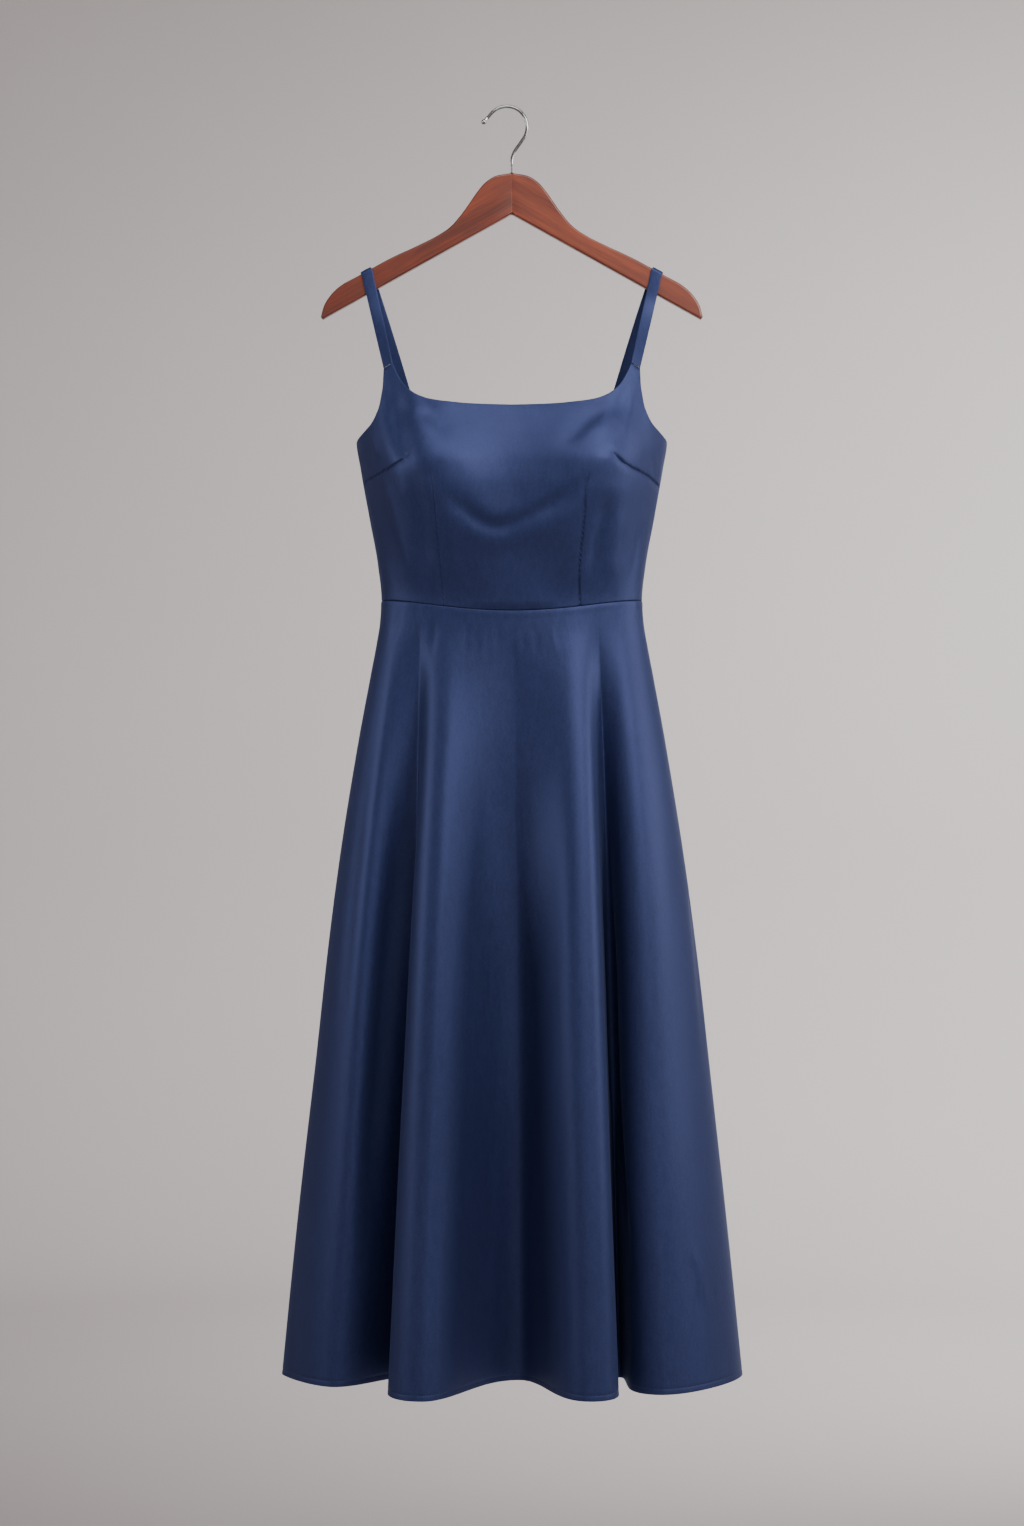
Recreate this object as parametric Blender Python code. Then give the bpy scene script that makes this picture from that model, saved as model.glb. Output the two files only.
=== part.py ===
"""Satin midi dress with a fitted bodice, straps and a fluted skirt, on a wooden hanger with a wire hook.

Metres, +Z up, the front of the dress facing -Y. The origin is the inner top of the hook, where a rail carries it.
Tables are in millimetres, measured from the plane of the side seams and from the dress's own centre line.
"""
import math
from collections import namedtuple

import bmesh
import bpy
import numpy as np
from mathutils import Matrix, Vector
from mathutils.geometry import delaunay_2d_cdt

MM = 0.001
FRONT = -1.0
BACK = 1.0

# Cloth
WALL = 1.5 * MM
SEAM = 0.3 * MM
PANEL_STEP = 16.0 * MM
EDGE_STEP = 9.0 * MM

# Bodice: each row is a level section, with its depth in front of the side seams at three stations across
APEX_ANGLE = math.radians(31.0)
FLANK_ANGLE = math.radians(60.0)
DOMAIN_RADIUS = 150.0 * MM
Section = namedtuple("Section", "height half_width centre apex flank back")
BODICE = (
    Section(-586.0, 150.0, 61.0, 53.0, 31.5, 52.0),
    Section(-568.0, 150.0, 63.0, 55.0, 32.5, 52.0),
    Section(-526.0, 154.3, 74.0, 69.0, 38.0, 58.0),
    Section(-472.0, 164.0, 90.0, 88.0, 46.0, 66.0),
    Section(-440.0, 169.9, 90.0, 96.0, 51.0, 69.0),
    Section(-415.0, 174.3, 87.0, 98.0, 52.5, 70.0),
    Section(-383.0, 179.0, 78.0, 88.0, 50.0, 68.0),
    Section(-350.0, 179.0, 66.5, 72.0, 46.0, 62.0),
    Section(-300.0, 179.0, 58.0, 58.0, 40.0, 50.0),
)

# Waist seam: its height at the side seams, and how far it dips at the centre
WAIST_HEIGHT = -567.6 * MM
WAIST_DIP = 13.7 * MM
WAIST_POWER = 3.2

# Cut edges of the bodice, from the centre or the underarm outwards to the strap
EdgePoint = namedtuple("EdgePoint", "x height")
NECK_EDGE = (
    EdgePoint(0.0, -348.6), EdgePoint(45.2, -347.4), EdgePoint(71.2, -345.2), EdgePoint(92.6, -342.1),
    EdgePoint(107.6, -336.7), EdgePoint(116.2, -330.9), EdgePoint(124.4, -322.0), EdgePoint(131.1, -310.2),
    EdgePoint(136.0, -299.4),
)
ARMHOLE_EDGE = (
    EdgePoint(179.0, -383.3), EdgePoint(176.1, -381.4), EdgePoint(167.2, -374.1), EdgePoint(159.3, -366.2),
    EdgePoint(154.6, -357.5), EdgePoint(151.1, -348.6), EdgePoint(149.0, -338.0), EdgePoint(147.0, -324.7),
    EdgePoint(146.2, -305.3),
)
BACK_NECK_EDGE = (
    EdgePoint(0.0, -396.0), EdgePoint(40.0, -395.5), EdgePoint(70.0, -393.0), EdgePoint(88.0, -388.0),
    EdgePoint(97.0, -381.0), EdgePoint(103.0, -372.0),
)
BACK_ARM_EDGE = (
    EdgePoint(179.0, -383.3), EdgePoint(155.0, -382.0), EdgePoint(135.0, -379.5), EdgePoint(122.0, -376.0),
    EdgePoint(116.0, -372.0),
)

# Skirt: how far each ring has moved from the waist ring to the hem ring, by its share of the drop
HEM_HEIGHT = -1458.0 * MM
Flare = namedtuple("Flare", "drop spread")
FLARE = (
    Flare(0.0, 0.0), Flare(0.03, 0.017), Flare(0.05, 0.042), Flare(0.095, 0.107), Flare(0.185, 0.237),
    Flare(0.32, 0.407), Flare(0.46, 0.55), Flare(0.6, 0.667), Flare(0.77, 0.815), Flare(1.0, 1.0),
)
SKIRT_ROWS = (0.0, 0.04, 0.09, 0.17, 0.28, 0.41, 0.55, 0.7, 0.85, 1.0)
COLUMN_STEP = 24.0 * MM
COLUMN_TURN = math.radians(26.0)
SPAN_SAMPLES = 60

# Folds at the hem, seen from above, left to right. Depth is out from the side seams' plane, heading is the hem's
# direction (0 to the right, 90 outwards), the reaches set how broad each bend is, and waist is the share of the
# waist seam that the fold hangs from.
Fold = namedtuple("Fold", "name x depth heading reach_in reach_out waist")
FRONT_FOLDS = (
    Fold("side_left", -265.0, 0.0, 90.0, 0.0, 14.0, 0.0),
    Fold("lobe_left", -190.0, 75.0, 0.0, 28.0, 24.0, 0.115),
    Fold("valley_left", -119.0, 20.0, 5.0, 24.0, 14.0, 0.195),
    Fold("flute_left_edge", -139.0, 112.0, 92.0, 42.0, 22.0, 0.25),
    Fold("flute_left", -96.0, 158.0, 0.0, 26.0, 28.0, 0.31),
    Fold("valley_centre", 3.0, 30.0, 0.0, 45.0, 28.0, 0.5),
    Fold("flute_right", 79.0, 158.0, 0.0, 45.0, 26.0, 0.66),
    Fold("flute_right_edge", 119.0, 118.0, -92.0, 24.0, 44.0, 0.735),
    Fold("valley_right", 123.0, 21.0, 0.0, 7.0, 7.0, 0.785),
    Fold("lobe_right_edge", 131.0, 82.0, 84.0, 34.0, 16.0, 0.83),
    Fold("lobe_right", 168.0, 120.0, 0.0, 26.0, 36.0, 0.88),
    Fold("side_right", 266.0, 0.0, -90.0, 40.0, 0.0, 1.0),
)
BACK_LEFT_FOLDS = (
    Fold("side_left", -265.0, 0.0, 90.0, 0.0, 16.0, 0.0),
    Fold("back_lobe_left", -196.0, 88.0, 0.0, 34.0, 30.0, 0.12),
    Fold("back_valley_left", -136.0, 38.0, 0.0, 22.0, 20.0, 0.22),
    Fold("back_flute_left", -74.0, 152.0, 0.0, 34.0, 28.0, 0.35),
    Fold("back_seam", 0.0, 58.0, 0.0, 30.0, 0.0, 0.5),
)
BACK_RIGHT_FOLDS = (
    Fold("back_seam", 0.0, 58.0, 0.0, 0.0, 30.0, 0.5),
    Fold("back_flute_right", 82.0, 146.0, 0.0, 34.0, 32.0, 0.655),
    Fold("back_valley_right", 143.0, 42.0, 0.0, 22.0, 20.0, 0.785),
    Fold("back_lobe_right", 203.0, 92.0, 0.0, 30.0, 34.0, 0.885),
    Fold("side_right", 266.0, 0.0, -90.0, 18.0, 0.0, 1.0),
)

# Hanger: the arm's top contour from the joint to the tip, and its straight lower edge
STEM_X = 5.8 * MM
ARM_THICKNESS = 12.0 * MM
ARM_ROUND = 2.4 * MM
ARM_LOW_START = -122.5 * MM
ARM_LOW_SLOPE = -0.5567
ArmPoint = namedtuple("ArmPoint", "out top")
ARM_TOP = (
    ArmPoint(0.0, -75.3), ArmPoint(17.7, -78.4), ArmPoint(29.4, -85.3), ArmPoint(40.1, -97.3),
    ArmPoint(49.5, -110.9), ArmPoint(60.5, -125.9), ArmPoint(71.4, -137.8), ArmPoint(87.5, -148.4),
    ArmPoint(109.4, -159.3), ArmPoint(138.2, -172.7), ArmPoint(161.3, -185.1), ArmPoint(178.0, -194.4),
    ArmPoint(195.2, -203.8), ArmPoint(208.2, -215.5), ArmPoint(216.5, -229.0), ArmPoint(219.8, -241.0),
)
ARM_TIP = ArmPoint(217.6, -243.7)
ARM_STEP = 11.0 * MM

# Hook: a wire of one bend that ends in a ball, and a stem set into the joint
WIRE_RADIUS = 1.9 * MM
HOOK_RADIUS = 23.5 * MM
HOOK_LOWER_ANGLE = math.radians(-35.0)
HOOK_UPPER_ANGLE = math.radians(138.7)
HOOK_TIP = (-26.3 * MM, -15.9 * MM)
BALL_RADIUS = 3.0 * MM
STEM_BEND_TOP = -47.0 * MM
STEM_BEND_END = -62.0 * MM
STEM_END = -100.0 * MM
BORE_CLEARANCE = 0.35 * MM

# Straps: centre line of the left one where it lies on the hanger's arm
STRAP_THICKNESS = 2.0 * MM
STRAP_WIDTH = 13.5 * MM
STRAP_TILT = math.radians(29.0)
Station = namedtuple("Station", "name x y z")
STRAP_STATIONS = (
    Station("front_low", 161.2, -7.3, -213.5),
    Station("front_middle", 164.0, -7.3, -201.0),
    Station("front_high", 166.2, -7.3, -190.6),
    Station("front_corner", 167.5, -6.2, -188.3),
    Station("top_front", 168.0, -3.6, -187.4),
    Station("top_back", 168.0, 3.6, -187.4),
    Station("back_corner", 167.5, 6.2, -188.3),
    Station("back_high", 166.2, 7.3, -190.6),
    Station("back_middle", 162.8, 7.3, -201.0),
    Station("back_low", 158.9, 7.3, -212.3),
)

# Concealed zip at the centre back
ZIP_TOP = -398.0 * MM
ZIP_END = -762.0 * MM
TAPE_WIDTH = 24.0 * MM
TAPE_THICKNESS = 1.0 * MM
TAPE_SAG = 0.35 * MM
TAPE_ROWS_ABOVE = 16
TAPE_ROWS_BELOW = 9
SLIDER_SIZE = (6.4 * MM, 2.4 * MM, 9.0 * MM)
SLIDER_BEVEL = 0.6 * MM
EAR_WIDTH = 0.9 * MM
EAR_GAP = 3.4 * MM
EAR_RADIUS = 1.1 * MM
PIN_RADIUS = 0.5 * MM
PIN_STAND_OFF = 1.7 * MM
BARREL_RADIUS = 1.3 * MM
BARREL_BORE = 0.8 * MM
PULL_EYE_WIDTH = 2.6 * MM
PULL_THICKNESS = 1.2 * MM
PullPoint = namedtuple("PullPoint", "half_width below")
PULL_OUTLINE = (
    PullPoint(1.3, 0.95), PullPoint(1.3, 4.0), PullPoint(1.7, 8.0), PullPoint(2.3, 12.0), PullPoint(2.8, 15.5),
    PullPoint(2.7, 18.2), PullPoint(1.9, 20.2), PullPoint(0.7, 21.2),
)

LOOKS = {
    "navy_satin": ((0.035, 0.052, 0.145, 1.0), 0.34, 0.0),
    "cherry_wood": ((0.27, 0.085, 0.045, 1.0), 0.38, 0.0),
    "chrome": ((0.78, 0.78, 0.79, 1.0), 0.12, 1.0),
    "navy_metal": ((0.03, 0.045, 0.12, 1.0), 0.35, 0.6),
}


def clear_scene():
    """Start from an empty scene."""
    for item in list(bpy.data.objects):
        bpy.data.objects.remove(item)


def look(name):
    """The named material, made once."""
    material = bpy.data.materials.get(name)
    if material is None:
        colour, roughness, metallic = LOOKS[name]
        material = bpy.data.materials.new(name)
        material.use_nodes = True
        shader = material.node_tree.nodes["Principled BSDF"]
        shader.inputs["Base Color"].default_value = colour
        shader.inputs["Roughness"].default_value = roughness
        shader.inputs["Metallic"].default_value = metallic
    return material


def place(name, data, parent, location=(0.0, 0.0, 0.0), look_name=None):
    """Put data into the scene as an object of that name."""
    item = bpy.data.objects.new(name, data)
    bpy.context.collection.objects.link(item)
    item.parent = parent
    item.location = location
    if look_name is not None:
        data.materials.append(look(look_name))
    return item


def mesh_of(name, points, faces):
    """A closed mesh with its faces pointing out, shaded smooth but at its sharp edges."""
    shape = bmesh.new()
    corners = [shape.verts.new(point) for point in points]
    for face in faces:
        shape.faces.new([corners[index] for index in face])
    bmesh.ops.recalc_face_normals(shape, faces=shape.faces)
    if shape.calc_volume(signed=True) < 0.0:
        bmesh.ops.reverse_faces(shape, faces=shape.faces)
    mesh = bpy.data.meshes.new(name)
    shape.to_mesh(mesh)
    shape.free()
    mesh.shade_smooth()
    mesh.set_sharp_from_angle(angle=math.radians(40.0))
    return mesh


def smooth(places, values, where):
    """Values at other places, by a cubic through the given ones that never overshoots them."""
    order = np.argsort(places)
    xs = np.asarray(places, float)[order]
    ys = np.asarray(values, float)[order]
    step = np.diff(xs)
    rise = np.diff(ys) / step
    slope = np.zeros_like(xs)
    slope[0] = rise[0]
    slope[-1] = rise[-1]
    left = 2.0 * step[1:] + step[:-1]
    right = step[1:] + 2.0 * step[:-1]
    same = rise[1:] * rise[:-1] > 0.0
    inner = np.zeros_like(rise[1:])
    inner[same] = (left + right)[same] / (left[same] / rise[:-1][same] + right[same] / rise[1:][same])
    slope[1:-1] = inner
    where = np.clip(where, xs[0], xs[-1])
    index = np.clip(np.searchsorted(xs, where, side="right") - 1, 0, len(step) - 1)
    span = step[index]
    part = (where - xs[index]) / span
    rest = 1.0 - part
    low = ys[index] * (1.0 + 2.0 * part) * rest ** 2 + slope[index] * span * part * rest ** 2
    high = ys[index + 1] * part ** 2 * (3.0 - 2.0 * part) + slope[index + 1] * span * part ** 2 * (part - 1.0)
    return low + high


def section_at(column, height):
    """One column of the bodice's table at any height, in metres."""
    heights = [row.height * MM for row in BODICE]
    values = [getattr(row, column) * MM for row in BODICE]
    return smooth(heights, values, height)


def bodice_depth(angle, height, side):
    """How far the bodice's outer face stands out from the plane of the side seams."""
    level = np.cos(angle)
    if side == BACK:
        depth = level * section_at("back", height)
    else:
        sine = np.sin(angle) ** 2
        apex = math.sin(APEX_ANGLE) ** 2
        flank = math.sin(FLANK_ANGLE) ** 2
        centre = section_at("centre", height)
        at_apex = section_at("apex", height) / math.cos(APEX_ANGLE) - centre
        at_flank = section_at("flank", height) / math.cos(FLANK_ANGLE) - centre
        bend = (at_flank / flank - at_apex / apex) / (flank - apex)
        swell = at_apex / apex - bend * apex
        depth = level * (centre + swell * sine + bend * sine ** 2)
    return np.maximum(depth, SEAM / 2.0)


def bodice_plan(angle, height, side):
    """Points of the bodice's outer face seen from above."""
    x = section_at("half_width", height) * np.sin(angle)
    return np.stack([x, side * bodice_depth(angle, height, side)], axis=-1)


def bodice_faces(angle, height, side):
    """Outer and inner points of the bodice's wall."""
    turn = 0.002
    after = bodice_plan(np.asarray(angle) + turn, height, side)
    before = bodice_plan(np.asarray(angle) - turn, height, side)
    along = after - before
    along /= np.linalg.norm(along, axis=-1, keepdims=True)
    edge = np.abs(np.cos(angle)) < turn
    along[edge] = np.stack([np.zeros(edge.sum()), -side * np.sign(np.sin(angle[edge]))], axis=-1)
    outward = side * np.stack([-along[:, 1], along[:, 0]], axis=-1)
    plan = bodice_plan(angle, height, side)
    outer = np.column_stack([plan, height])
    inner = np.column_stack([plan - WALL * outward, height])
    return outer, inner


def waist_height(angle):
    """The waist seam's height around the body."""
    return WAIST_HEIGHT - WAIST_DIP * np.abs(np.cos(angle)) ** WAIST_POWER


def resample(points, step):
    """Points about one step apart on a smooth curve through the given ones."""
    points = np.asarray(points, float)
    chord = np.concatenate([[0.0], np.cumsum(np.linalg.norm(np.diff(points, axis=0), axis=1))])
    fine = np.linspace(0.0, chord[-1], 400)
    curve = np.stack([smooth(chord, points[:, 0], fine), smooth(chord, points[:, 1], fine)], axis=-1)
    length = np.concatenate([[0.0], np.cumsum(np.linalg.norm(np.diff(curve, axis=0), axis=1))])
    count = max(1, round(length[-1] / step))
    wanted = np.linspace(0.0, length[-1], count + 1)
    return np.stack([np.interp(wanted, length, curve[:, 0]), np.interp(wanted, length, curve[:, 1])], axis=-1)


def edge_curve(rows, step=EDGE_STEP):
    """A cut edge of the bodice as (angle, height) pairs."""
    curve = resample([(row.x * MM, row.height * MM) for row in rows], step)
    reach = section_at("half_width", curve[:, 1])
    angle = np.arcsin(np.clip(curve[:, 0] / reach, -1.0, 1.0))
    return np.column_stack([angle, curve[:, 1]])


def right_outline(arm_rows, neck_rows):
    """The right half's outline, from the waist at the centre round to the neck at the centre."""
    count = round(DOMAIN_RADIUS * math.pi / 2.0 / PANEL_STEP)
    angles = np.linspace(0.0, math.pi / 2.0, count + 1)
    waist = np.column_stack([angles, waist_height(angles) + SEAM / 2.0])
    underarm = arm_rows[0].height * MM
    heights = np.linspace(waist[-1, 1], underarm, round((underarm - waist[-1, 1]) / PANEL_STEP) + 1)
    seam = np.column_stack([np.full(len(heights), math.pi / 2.0), heights])
    armhole = edge_curve(arm_rows)
    neck = edge_curve(neck_rows)[::-1]
    return np.vstack([waist, seam[1:], armhole[1:], neck])


def inside(points, loop):
    """Which points lie inside the loop, and how far each is from it."""
    start = loop
    end = np.roll(loop, -1, axis=0)
    above = (start[:, 1] > points[:, 1:2]) != (end[:, 1] > points[:, 1:2])
    rise = np.where(end[:, 1] == start[:, 1], 1.0, end[:, 1] - start[:, 1])
    crossing = start[:, 0] + (points[:, 1:2] - start[:, 1]) * (end[:, 0] - start[:, 0]) / rise
    within = np.sum(above & (points[:, 0:1] < crossing), axis=1) % 2 == 1
    side = end - start
    offset = points[:, None, :] - start
    share = np.clip(np.sum(offset * side, axis=2) / np.sum(side * side, axis=1), 0.0, 1.0)
    gap = np.linalg.norm(offset - share[..., None] * side, axis=2).min(axis=1)
    return within, gap


def fill_outline(outline):
    """Triangles that fill an outline of (angle, height) pairs, with a staggered grid of points inside."""
    scale = np.array([DOMAIN_RADIUS, 1.0])
    loop = outline * scale
    low = loop.min(axis=0)
    high = loop.max(axis=0)
    row_step = PANEL_STEP * math.sqrt(3.0) / 2.0
    grid = []
    for index, level in enumerate(np.arange(low[1] + row_step / 2.0, high[1], row_step)):
        shift = PANEL_STEP / 2.0 if index % 2 else 0.0
        half = np.arange(shift, max(abs(low[0]), abs(high[0])), PANEL_STEP)
        across = np.unique(np.concatenate([-half, half]))
        grid.append(np.column_stack([across, np.full(len(across), level)]))
    grid = np.vstack(grid)
    within, gap = inside(grid, loop)
    points = np.vstack([loop, grid[within & (gap > 0.55 * PANEL_STEP)]])
    edges = [(index, (index + 1) % len(loop)) for index in range(len(loop))]
    result = delaunay_2d_cdt([Vector(point) for point in points], edges, [], 1, 1e-7)
    filled = np.array([tuple(point) for point in result[0]]) / scale
    return filled, [tuple(face) for face in result[2]]


def wall(name, outer, inner, faces, parent):
    """A cloth piece: its outer face, its inner face and the rim between them."""
    count = len(outer)
    sides = {edge for face in faces for edge in zip(face, face[1:] + face[:1])}
    every = list(faces)
    every += [tuple(index + count for index in reversed(face)) for face in faces]
    every += [(b, a, a + count, b + count) for a, b in sorted(sides) if (b, a) not in sides]
    mesh = mesh_of(name, np.vstack([outer, inner]), every)
    return place(name, mesh, parent, look_name="navy_satin")


def make_bodice(parent):
    """The front in one piece, and the back in two halves that meet at the zip."""
    right = right_outline(ARMHOLE_EDGE, NECK_EDGE)
    left = right[-2:0:-1] * np.array([-1.0, 1.0])
    filled, faces = fill_outline(np.vstack([right, left]))
    outer, inner = bodice_faces(filled[:, 0], filled[:, 1], FRONT)
    wall("bodice_front", outer, inner, faces, parent)

    half = right_outline(BACK_ARM_EDGE, BACK_NECK_EDGE)
    count = round((half[-1, 1] - half[0, 1]) / PANEL_STEP)
    heights = np.linspace(half[-1, 1], half[0, 1], count + 1)[1:-1]
    seam = np.column_stack([np.zeros(len(heights)), heights])
    filled, faces = fill_outline(np.vstack([half, seam]))
    outer, inner = bodice_faces(filled[:, 0], filled[:, 1], BACK)
    for name, sign in (("bodice_back_right", 1.0), ("bodice_back_left", -1.0)):
        shift = np.array([sign, 1.0, 1.0])
        parted = []
        for points in (outer, inner):
            points = points.copy()
            points[:, 0] = np.maximum(points[:, 0], SEAM / 2.0)
            parted.append(points * shift)
        wall(name, parted[0], parted[1], faces, parent)


def hem_curve(folds, side):
    """Fine points of the hem ring, and the waist share that each hangs from."""
    points = []
    spans = []
    for start, end in zip(folds, folds[1:]):
        out = math.radians(start.heading)
        into = math.radians(end.heading)
        corners = np.array([
            (start.x, start.depth),
            (start.x + start.reach_out * math.cos(out), start.depth + start.reach_out * math.sin(out)),
            (end.x - end.reach_in * math.cos(into), end.depth - end.reach_in * math.sin(into)),
            (end.x, end.depth),
        ]) * MM
        part = np.linspace(0.0, 1.0, SPAN_SAMPLES + 1)[:, None]
        rest = 1.0 - part
        curve = (corners[0] * rest ** 3 + 3.0 * corners[1] * rest ** 2 * part
                 + 3.0 * corners[2] * rest * part ** 2 + corners[3] * part ** 3)
        spans.append(len(points))
        points.extend(curve[:-1] if end is not folds[-1] else curve)
    spans.append(len(points) - 1)
    plan = np.array(points) * np.array([1.0, side])
    length = np.concatenate([[0.0], np.cumsum(np.linalg.norm(np.diff(plan, axis=0), axis=1))])
    share = smooth(length[spans], [fold.waist for fold in folds], length)
    return plan, length, share


def waist_curve(share, side):
    """Plan points and angles of the waist ring at the given shares of its length."""
    angles = np.linspace(-math.pi / 2.0, math.pi / 2.0, 721)
    plan = bodice_plan(angles, waist_height(angles), side)
    length = np.concatenate([[0.0], np.cumsum(np.linalg.norm(np.diff(plan, axis=0), axis=1))])
    angle = np.interp(share * length[-1], length, angles)
    return bodice_plan(angle, waist_height(angle), side), angle


def spread_at(drop):
    """How far a ring has moved out from the waist ring to the hem ring."""
    return smooth([row.drop for row in FLARE], [row.spread for row in FLARE], drop)


def choose_columns(plan, length):
    """Places along the hem for the mesh's columns, closer together where it bends."""
    along = np.gradient(plan, axis=0)
    heading = np.unwrap(np.arctan2(along[:, 1], along[:, 0]))
    weight = np.diff(length) / COLUMN_STEP + np.abs(np.diff(heading)) / COLUMN_TURN
    total = np.concatenate([[0.0], np.cumsum(weight)])
    count = math.ceil(total[-1])
    return np.unique(np.searchsorted(total, np.linspace(0.0, total[-1], count + 1)).clip(0, len(plan) - 1))


def skirt_ring(hem, waist, drop, side):
    """Outer points and outward directions of the ring at one share of the drop."""
    spread = float(spread_at(drop))
    plan = (1.0 - spread) * waist + spread * hem
    along = np.gradient(plan, axis=0)
    along /= np.linalg.norm(along, axis=1, keepdims=True)
    outward = side * np.stack([-along[:, 1], along[:, 0]], axis=-1)
    return plan, along, outward


def make_skirt_panel(name, folds, side, parent):
    """One skirt panel, from the waist ring down to the folds of the hem."""
    hem, length, share = hem_curve(folds, side)
    waist, angle = waist_curve(share, side)
    columns = choose_columns(hem, length)
    top = waist_height(angle) - SEAM / 2.0
    outer = []
    inner = []
    for drop in SKIRT_ROWS:
        plan, along, outward = skirt_ring(hem, waist, drop, side)
        plan[0] += along[0] * SEAM / 2.0
        plan[-1] -= along[-1] * SEAM / 2.0
        height = top + (HEM_HEIGHT - top) * drop
        outer.append(np.column_stack([plan, height])[columns])
        inner.append(np.column_stack([plan - WALL * outward, height])[columns])
    across = len(columns)
    faces = []
    for row in range(len(SKIRT_ROWS) - 1):
        for column in range(across - 1):
            a = row * across + column
            b = a + across
            faces.append((a, b, b + 1))
            faces.append((a, b + 1, a + 1))
    wall(name, np.vstack(outer), np.vstack(inner), faces, parent)


def ribbon(name, sections, parent):
    """A strip lofted through sections of four corners each."""
    points = [corner for section in sections for corner in section]
    faces = []
    for index in range(len(sections) - 1):
        low = index * 4
        for side in range(4):
            after = (side + 1) % 4
            faces.append((low + side, low + 4 + side, low + 4 + after))
            faces.append((low + side, low + 4 + after, low + after))
    last = (len(sections) - 1) * 4
    faces += [(last + 2, last + 1, last), (last + 3, last + 2, last), (0, 1, 2), (0, 2, 3)]
    if sections[0][0][0] < 0.0:  # its corners run the other way round
        faces = [face[::-1] for face in faces]
    return place(name, mesh_of(name, points, faces), parent, look_name="navy_satin")


def seam_section(rows, side, lift):
    """A strap's end section, on the last point of two cut edges, just off the panel's rim."""
    corners = []
    for row in rows:
        height = np.array([row.height * MM])
        angle = np.arcsin(row.x * MM / section_at("half_width", height))
        outer, inner = bodice_faces(angle, height, side)
        middle = (outer[0] + inner[0]) / 2.0
        outward = (outer[0] - inner[0]) / WALL
        corners.append(middle + lift + outward * STRAP_THICKNESS / 2.0)
        corners.append(middle + lift - outward * STRAP_THICKNESS / 2.0)
    return [corners[0], corners[2], corners[3], corners[1]]


def make_strap(name, sign, parent):
    """One strap, from the front seam over the hanger's arm to the back neck edge."""
    centres = [Vector((row.x, row.y, row.z)) * MM for row in STRAP_STATIONS]
    across = Vector((-math.cos(STRAP_TILT), 0.0, math.sin(STRAP_TILT)))
    up = np.array([0.0, 0.0, SEAM])
    front = seam_section((NECK_EDGE[-1], ARMHOLE_EDGE[-1]), FRONT, up)
    back = seam_section((BACK_NECK_EDGE[-1], BACK_ARM_EDGE[-1]), BACK, up)
    start = Vector(np.mean(front, axis=0))
    end = Vector(np.mean(back, axis=0))
    line = [start] + centres + [end]
    sections = [front]
    for index in range(1, len(line) - 1):
        along = (line[index] - line[index - 1]).normalized() + (line[index + 1] - line[index]).normalized()
        inward = along.cross(across).normalized() * STRAP_THICKNESS / 2.0
        half = across * STRAP_WIDTH / 2.0
        point = line[index]
        sections.append([point + half + inward, point - half + inward, point - half - inward, point + half - inward])
    if sections[1][0].y < sections[1][3].y:
        sections = [sections[0]] + [[four[3], four[2], four[1], four[0]] for four in sections[1:]]
    sections.append([back[3], back[2], back[1], back[0]])
    mirrored = [[(corner[0] * sign, corner[1], corner[2]) for corner in section] for section in sections]
    return ribbon(name, mirrored, parent)


def make_arm(name, sign, bore, parent):
    """One wooden arm: its contour, made as thick as the plank, with rounded edges and half of the stem's bore."""
    top = resample([(row.out * MM, row.top * MM) for row in ARM_TOP], ARM_STEP)
    top[0, 0] = SEAM / 2.0
    tip = (ARM_TIP.out * MM, ARM_TIP.top * MM)
    low_start = (SEAM / 2.0, ARM_LOW_START)
    middle = ((tip[0] + low_start[0]) / 2.0, ARM_LOW_START + ARM_LOW_SLOPE * (tip[0] + low_start[0]) / 2.0)
    contour = [tuple(point) for point in top] + [tip, middle, low_start]
    shape = bmesh.new()
    weight = shape.edges.layers.float.new("bevel_weight_edge")
    corners = [shape.verts.new((x * sign, -ARM_THICKNESS / 2.0, z)) for x, z in contour]
    face = shape.faces.new(corners)
    grown = bmesh.ops.extrude_face_region(shape, geom=[face])
    moved = [item for item in grown["geom"] if isinstance(item, bmesh.types.BMVert)]
    bmesh.ops.translate(shape, verts=moved, vec=(0.0, ARM_THICKNESS, 0.0))
    bmesh.ops.recalc_face_normals(shape, faces=shape.faces)
    for edge in shape.edges:
        flat = abs(edge.verts[0].co.y - edge.verts[1].co.y) < SEAM
        joint = max(abs(vert.co.x) for vert in edge.verts) < SEAM
        edge[weight] = 1.0 if flat and not joint else 0.0
    mesh = bpy.data.meshes.new(name)
    shape.to_mesh(mesh)
    shape.free()
    mesh.shade_smooth()
    mesh.set_sharp_from_angle(angle=math.radians(40.0))
    arm = place(name, mesh, parent, look_name="cherry_wood")
    edges = arm.modifiers.new("rounded_edges", "BEVEL")
    edges.limit_method = "WEIGHT"
    edges.width = ARM_ROUND
    edges.segments = 2
    drill = arm.modifiers.new("stem_bore", "BOOLEAN")
    drill.operation = "DIFFERENCE"
    drill.object = bore
    return arm


def make_bore(parent):
    """The cutter for the stem's bore."""
    depth = ARM_TOP[0].top * MM - STEM_END + 2.0 * ARM_ROUND
    shape = bmesh.new()
    radius = WIRE_RADIUS + BORE_CLEARANCE
    bmesh.ops.create_cone(shape, cap_ends=True, segments=16, radius1=radius, radius2=radius, depth=depth)
    mesh = bpy.data.meshes.new("stem_bore_cutter")
    shape.to_mesh(mesh)
    shape.free()
    cutter = place("stem_bore_cutter", mesh, parent, (0.0, 0.0, STEM_END - SEAM + depth / 2.0))
    cutter.hide_render = True
    cutter.display_type = "WIRE"
    return cutter


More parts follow.
